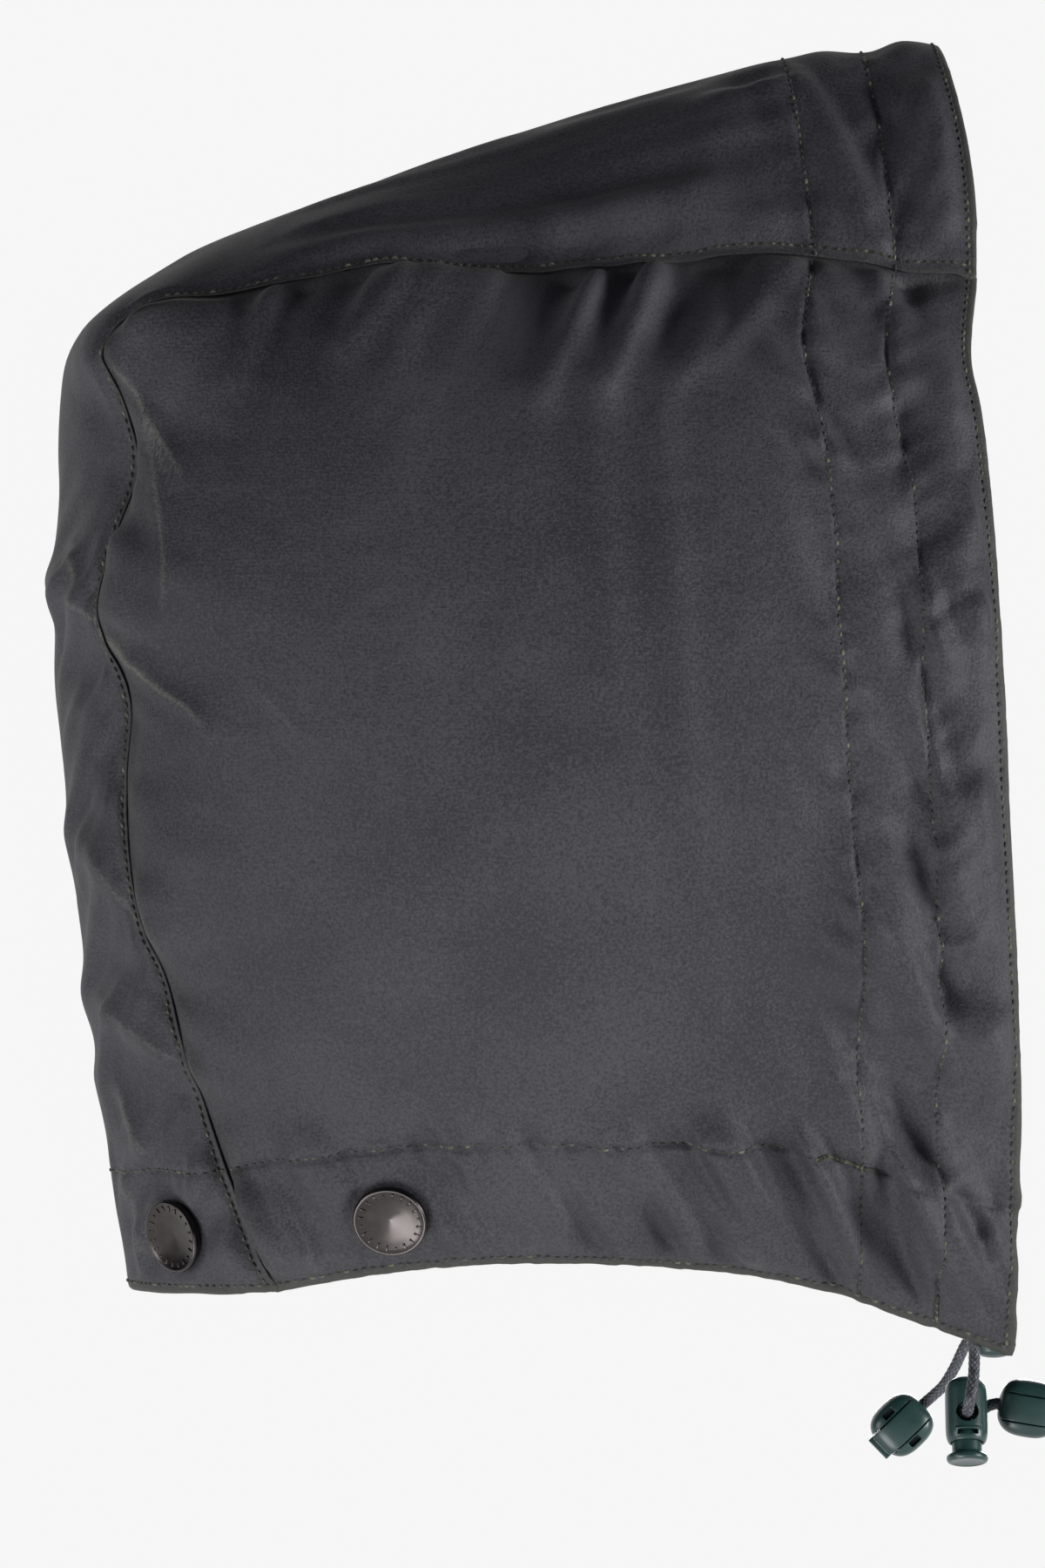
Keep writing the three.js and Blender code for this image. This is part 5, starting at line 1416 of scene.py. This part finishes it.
def bead(name, grow):
    """A rounded box of the cord end's size, fuller at its corners than a ball is."""
    half, wide, thick = (mm(n) / 2 + grow for n in ("end_length", "end_width", "end_thickness"))
    fullness = 2.8
    profile = [(math.sin(t), math.cos(t)) for t in np.linspace(0, math.pi, 49)]
    ball = lathe(name, profile, 80)
    for corner in ball.data.vertices:
        ball_place = corner.co / MM
        reach = sum(abs(part) ** fullness for part in ball_place) ** (1 / fullness)
        corner.co = corner.co / reach
    ball.data.transform(Matrix.Diagonal((half, wide, thick, 1)))
    return ball


def make_cord_end(side):
    """The two pieces of a cord end: its rounded body with two slots, and the clip saddled over it."""
    length, thick = mm("end_length"), mm("end_thickness")
    half, clip, wall = length / 2, 7.6, 2.2
    core = thick - 2 * wall
    face = 1 if CORD_END_PLACES[side][1][0] < 0 else -1
    body = bead("end_lobes_" + side, 0)
    tools = [block("a", (length * 2, clip, thick), (0, 0, core / 2 + thick / 2)),
             block("b", (length * 2, clip, thick), (0, 0, -core / 2 - thick / 2)),
             block("c", (length, clip, thick * 2), (half - 3.0 + length / 2, 0, 0)),
             lathe("d", [(0, half / 2), (1.8, half / 2), (1.8, -half / 2), (0, -half / 2)], 32,
                   Matrix.Translation((-half * 0.95 * MM, 0, 0)) @ Matrix.Rotation(math.pi / 2, 4, "Y"))]
    tools += [block("slot", (3.5, 1.8, thick), (0.4, k * 5.15, face * (1.0 + thick / 2))) for k in (-1, 1)]
    carve(body, tools)
    soften(body)
    saddle = bead("end_clip_" + side, 0.4)
    width = clip - 0.6
    carve(saddle, [block("band", (length * 2, width, thick * 2), (0, 0, 0))], "INTERSECT")
    carve(saddle, [block("lip", (2.6, width, thick / 2), (half + 0.2, 0, 0))], "UNION")
    inner = block("core", (length * 2, clip, core + 0.6), (half - 3.0 + 0.3 - length, 0, 0))
    carve(saddle, [inner])
    soften(saddle, 2)
    for thing in (body, saddle):
        thing.data.transform(end_matrix(side))
        dress(thing, "plastic")
    return body, saddle


def make_cord(side):
    """A braided cord end along its route, with its strands raised, and the line that it follows."""
    route = np.array(CORD_ROUTES[side]) / MM
    radius = mm("cord_diameter") / 2
    coarse = np.stack([along(route, np.linspace(0, 1, 600), k) for k in range(3)], -1)
    lengths = run_lengths(coarse)
    places = np.linspace(0, lengths[-1], int(lengths[-1] / 0.16))
    line = follow(places, lengths, coarse)
    ahead = unit(np.gradient(line, axis=0))
    normal = np.zeros_like(line)
    normal[0] = unit(np.cross(ahead[0], [0.0, 1.0, 0.3]))
    for k in range(1, len(line)):
        turned = normal[k - 1] - ahead[k] * np.dot(normal[k - 1], ahead[k])
        normal[k] = unit(turned)
    across = np.cross(ahead, normal)
    sides = 48
    turn = np.arange(sides) * 2 * math.pi / sides
    strands, pitch = 8, 6.4
    round_it, along_it = strands * turn[None, :] / (2 * math.pi), places[:, None] / pitch * strands / 2
    one, two = round_it + along_it, round_it - along_it
    over = (np.floor(one) + np.floor(two)) % 2 == 0
    wave = np.where(over, np.sin(math.pi * (one % 1)), np.sin(math.pi * (two % 1)))
    other = np.where(over, two % 1, one % 1)
    height = np.abs(wave) ** 0.6 * (0.7 + 0.3 * np.sin(math.pi * other))
    ring = radius * (0.84 + 0.19 * height)
    points = (line[:, None, :] + normal[:, None, :] * (ring * np.cos(turn))[..., None]
              + across[:, None, :] * (ring * np.sin(turn))[..., None])
    index = np.arange(points.shape[0] * sides).reshape(-1, sides)
    index = np.concatenate([index, index[:, :1]], 1)
    faces = grid_faces(index)[:, ::-1].tolist()
    ends = len(line) * sides
    faces += [(ends, (j + 1) % sides, j) for j in range(sides)]
    last = (len(line) - 1) * sides
    faces += [(ends + 1, last + j, last + (j + 1) % sides) for j in range(sides)]
    cell = np.where(over, np.floor(one) * 7.3 + np.floor(two) * 1.7,
                    np.floor(two) * 5.9 + np.floor(one) * 2.3)
    random = np.modf(np.abs(np.sin(cell * 12.9898) * 43758.5453))[0]
    # Painted light and shade: gaps between strands are painted dark and strand tops lighter; which strands
    # are light is random
    shade = np.clip((0.15 + 0.85 * random ** 1.3) * (2.2 * height - 1.1), 0, 1)
    every = np.concatenate([points.reshape(-1, 3), line[:1], line[-1:]])
    cord = mesh_object("cord_" + side, every, faces, {"shade": np.concatenate([shade.ravel(), [0, 0]])})
    return dress(cord, "cord"), line * MM, lengths[-1] * MM


# Operators

SHELL = {}


def hood_shell():
    """The hood's surface, worked out once."""
    if "made" not in SHELL:
        SHELL["made"] = Shell()
    return SHELL["made"]


class HOOD_OT_stage(bpy.types.Operator):
    """Makes the camera, the pale floor and backdrop, and the soft studio lights"""
    bl_idname = "hood.stage"
    bl_label = "Stage"

    def execute(self, context):
        scene = context.scene
        scene.view_settings.view_transform = "Standard"
        camera = bpy.data.objects.new("camera", bpy.data.cameras.new("camera"))
        camera.location = (0, -1.8, 0.1349)
        camera.rotation_euler = (math.pi / 2, 0, 0)
        camera.data.lens = 154.8
        camera.data.clip_end = 50
        scene.collection.objects.link(camera)
        scene.camera = camera
        self.backdrop()
        self.lights(scene)
        return {"FINISHED"}

    def backdrop(self):
        """A floor that curves up into a wall, evenly lit as a light table is"""
        turns = np.linspace(0, math.pi / 2, 13)
        level, wall, bend, reach, top = -1.3, 5.0, 0.8, 9.0, 6.0
        profile = [(-reach, level), (wall, level)]
        profile += [(wall + bend * math.sin(t), level + bend * (1 - math.cos(t))) for t in turns[1:]]
        profile += [(wall + bend, top)]
        points = [(x, y, z) for y, z in profile for x in (-reach, reach)]
        faces = [(2 * k, 2 * k + 1, 2 * k + 3, 2 * k + 2) for k in range(len(profile) - 1)]
        floor = mesh_object("floor", np.array(points) / MM, faces)
        glow = {"Color": colour("floor"), "Strength": 1.0}
        material = new_material("studio_paper", lambda tree: add(tree, "ShaderNodeEmission", glow))
        floor.data.materials.append(material)
        floor.visible_diffuse = False
        # The studio's far walls only fill the view behind the hood, and light nothing
        sides, wide = 48, 8.0
        turn = np.arange(sides + 1) * 2 * math.pi / sides
        rise = np.linspace(math.asin(level / wide), math.pi / 2 - 0.01, 20)[:, None]
        dome = np.stack([np.cos(rise) * np.cos(turn), np.cos(rise) * np.sin(turn),
                         np.sin(rise) + 0 * turn], -1)
        index = np.arange(dome.shape[0] * dome.shape[1]).reshape(dome.shape[:2])
        walls = mesh_object("studio_walls", wide * dome.reshape(-1, 3) / MM, grid_faces(index).tolist())
        walls.data.materials.append(material)
        walls.visible_diffuse = walls.visible_glossy = walls.visible_shadow = False

    def lights(self, scene):
        """A dim, slightly blue room and four soft boxes aimed at the hood"""
        world = bpy.data.worlds.new("studio")
        scene.world = world
        world.use_nodes = True
        world.node_tree.nodes["Background"].inputs["Color"].default_value = (0.82, 0.85, 1.0, 1)
        world.node_tree.nodes["Background"].inputs["Strength"].default_value = 0.075
        for name, place, size, power in (
            ("softbox_low", (-0.55, -0.8, -0.85), 0.6, 7.5),
            ("softbox_left", (-1.7, -1.0, 0.1), 0.8, 10),
            ("softbox_right", (1.9, -0.9, 0.1), 0.8, 36),
            ("softbox_back", (0.4, 2.4, 0.3), 1.0, 44),
        ):
            light = bpy.data.lights.new(name, "AREA")
            light.shape, light.size, light.energy = "SQUARE", size, power
            lamp = bpy.data.objects.new(name, light)
            lamp.location = place
            aim = Vector((0, 0, 0.14)) - Vector(place)
            lamp.rotation_euler = aim.to_track_quat("-Z", "Y").to_euler()
            scene.collection.objects.link(lamp)


class HOOD_OT_cord_locks(bpy.types.Operator):
    """Makes the two cord locks, each a barrel and a sprung plunger"""
    bl_idname = "hood.cord_locks"
    bl_label = "Cord locks"

    def execute(self, context):
        for side in ("right", "left"):
            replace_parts(make_lock_barrel(side), "lock_barrel_" + side)
            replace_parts(make_lock_plunger(side), "lock_plunger_" + side)
        return {"FINISHED"}


class HOOD_OT_cord_ends(bpy.types.Operator):
    """Makes the moulded ends of the drawcord"""
    bl_idname = "hood.cord_ends"
    bl_label = "Cord ends"

    def execute(self, context):
        for side in ("right", "left"):
            body, clip = make_cord_end(side)
            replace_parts(body, "cord_end_body_" + side)
            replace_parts(clip, "cord_end_clip_" + side)
        return {"FINISHED"}


class HOOD_OT_drawcord(bpy.types.Operator):
    """Makes the braided free ends of the drawcord"""
    bl_idname = "hood.drawcord"
    bl_label = "Drawcord"

    def execute(self, context):
        for side in ("right", "left"):
            cord, line, length = make_cord(side)
            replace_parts(cord, "drawcord_" + side)
        return {"FINISHED"}


class HOOD_OT_side_panels(bpy.types.Operator):
    """Makes the two side panels of waxed cotton"""
    bl_idname = "hood.side_panels"
    bl_label = "Side panels"

    def execute(self, context):
        shell = hood_shell()
        for side, name in ((-1, "right"), (1, "left")):
            panel = dress(make_side_panel(shell, side), "cloth")
            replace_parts(panel, "side_panel_" + name)
        return {"FINISHED"}


class HOOD_OT_crown_panel(bpy.types.Operator):
    """Makes the crown panel, lapped over both side panels"""
    bl_idname = "hood.crown_panel"
    bl_label = "Crown panel"

    def execute(self, context):
        panel = dress(make_crown_panel(hood_shell()), "cloth")
        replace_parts(panel, "crown_panel")
        return {"FINISHED"}


class HOOD_OT_facings(bpy.types.Operator):
    """Makes the inner strips of the face casing and of the hem band"""
    bl_idname = "hood.facings"
    bl_label = "Facings"

    def execute(self, context):
        shell = hood_shell()
        face = dress(make_face_facing(shell), "cloth")
        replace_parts(face, "face_facing")
        neck = dress(make_neck_facing(shell), "cloth")
        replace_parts(neck, "neck_facing")
        return {"FINISHED"}


class HOOD_OT_stitching(bpy.types.Operator):
    """Sews the rows of stitches on the panels and facings"""
    bl_idname = "hood.stitching"
    bl_label = "Stitching"

    def execute(self, context):
        shell = hood_shell()
        for row in (*make_stitching(shell), make_inner_stitching(shell)):
            dress(row, "thread")
        return {"FINISHED"}


class HOOD_OT_press_studs(bpy.types.Operator):
    """Makes the caps and sockets of the four press studs"""
    bl_idname = "hood.press_studs"
    bl_label = "Press studs"

    def execute(self, context):
        shell = hood_shell()
        for name in shell.studs:
            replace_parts(make_stud_cap(shell, name), "stud_cap_" + name)
            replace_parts(make_stud_socket(shell, name), "stud_socket_" + name)
        return {"FINISHED"}


class HOOD_PT_pieces(bpy.types.Panel):
    """Lists the pieces of the hood, its sizes and its colours"""
    bl_label = "Hood"
    bl_idname = "HOOD_PT_pieces"
    bl_space_type = "VIEW_3D"
    bl_region_type = "UI"
    bl_category = "Hood"

    def draw(self, context):
        layout = self.layout
        for operator in STEPS:
            layout.operator(operator.bl_idname)
        for group in (context.scene.hood_sizes, context.scene.hood_colours):
            column = layout.column()
            for name in group.__annotations__:
                column.prop(group, name)


STEPS = (HOOD_OT_stage, HOOD_OT_cord_locks, HOOD_OT_cord_ends, HOOD_OT_drawcord, HOOD_OT_side_panels,
         HOOD_OT_crown_panel, HOOD_OT_facings, HOOD_OT_stitching, HOOD_OT_press_studs)
CLASSES = (HoodSizes, HoodColours, *STEPS, HOOD_PT_pieces)


def register():
    for cls in CLASSES:
        bpy.utils.register_class(cls)
    bpy.types.Scene.hood_sizes = PointerProperty(type=HoodSizes)
    bpy.types.Scene.hood_colours = PointerProperty(type=HoodColours)


def unregister():
    del bpy.types.Scene.hood_sizes, bpy.types.Scene.hood_colours
    for cls in reversed(CLASSES):
        bpy.utils.unregister_class(cls)


def main():
    register()
    for operator in STEPS:
        area, name = operator.bl_idname.split(".")
        getattr(getattr(bpy.ops, area), name)()


if __name__ == "__main__":
    main()
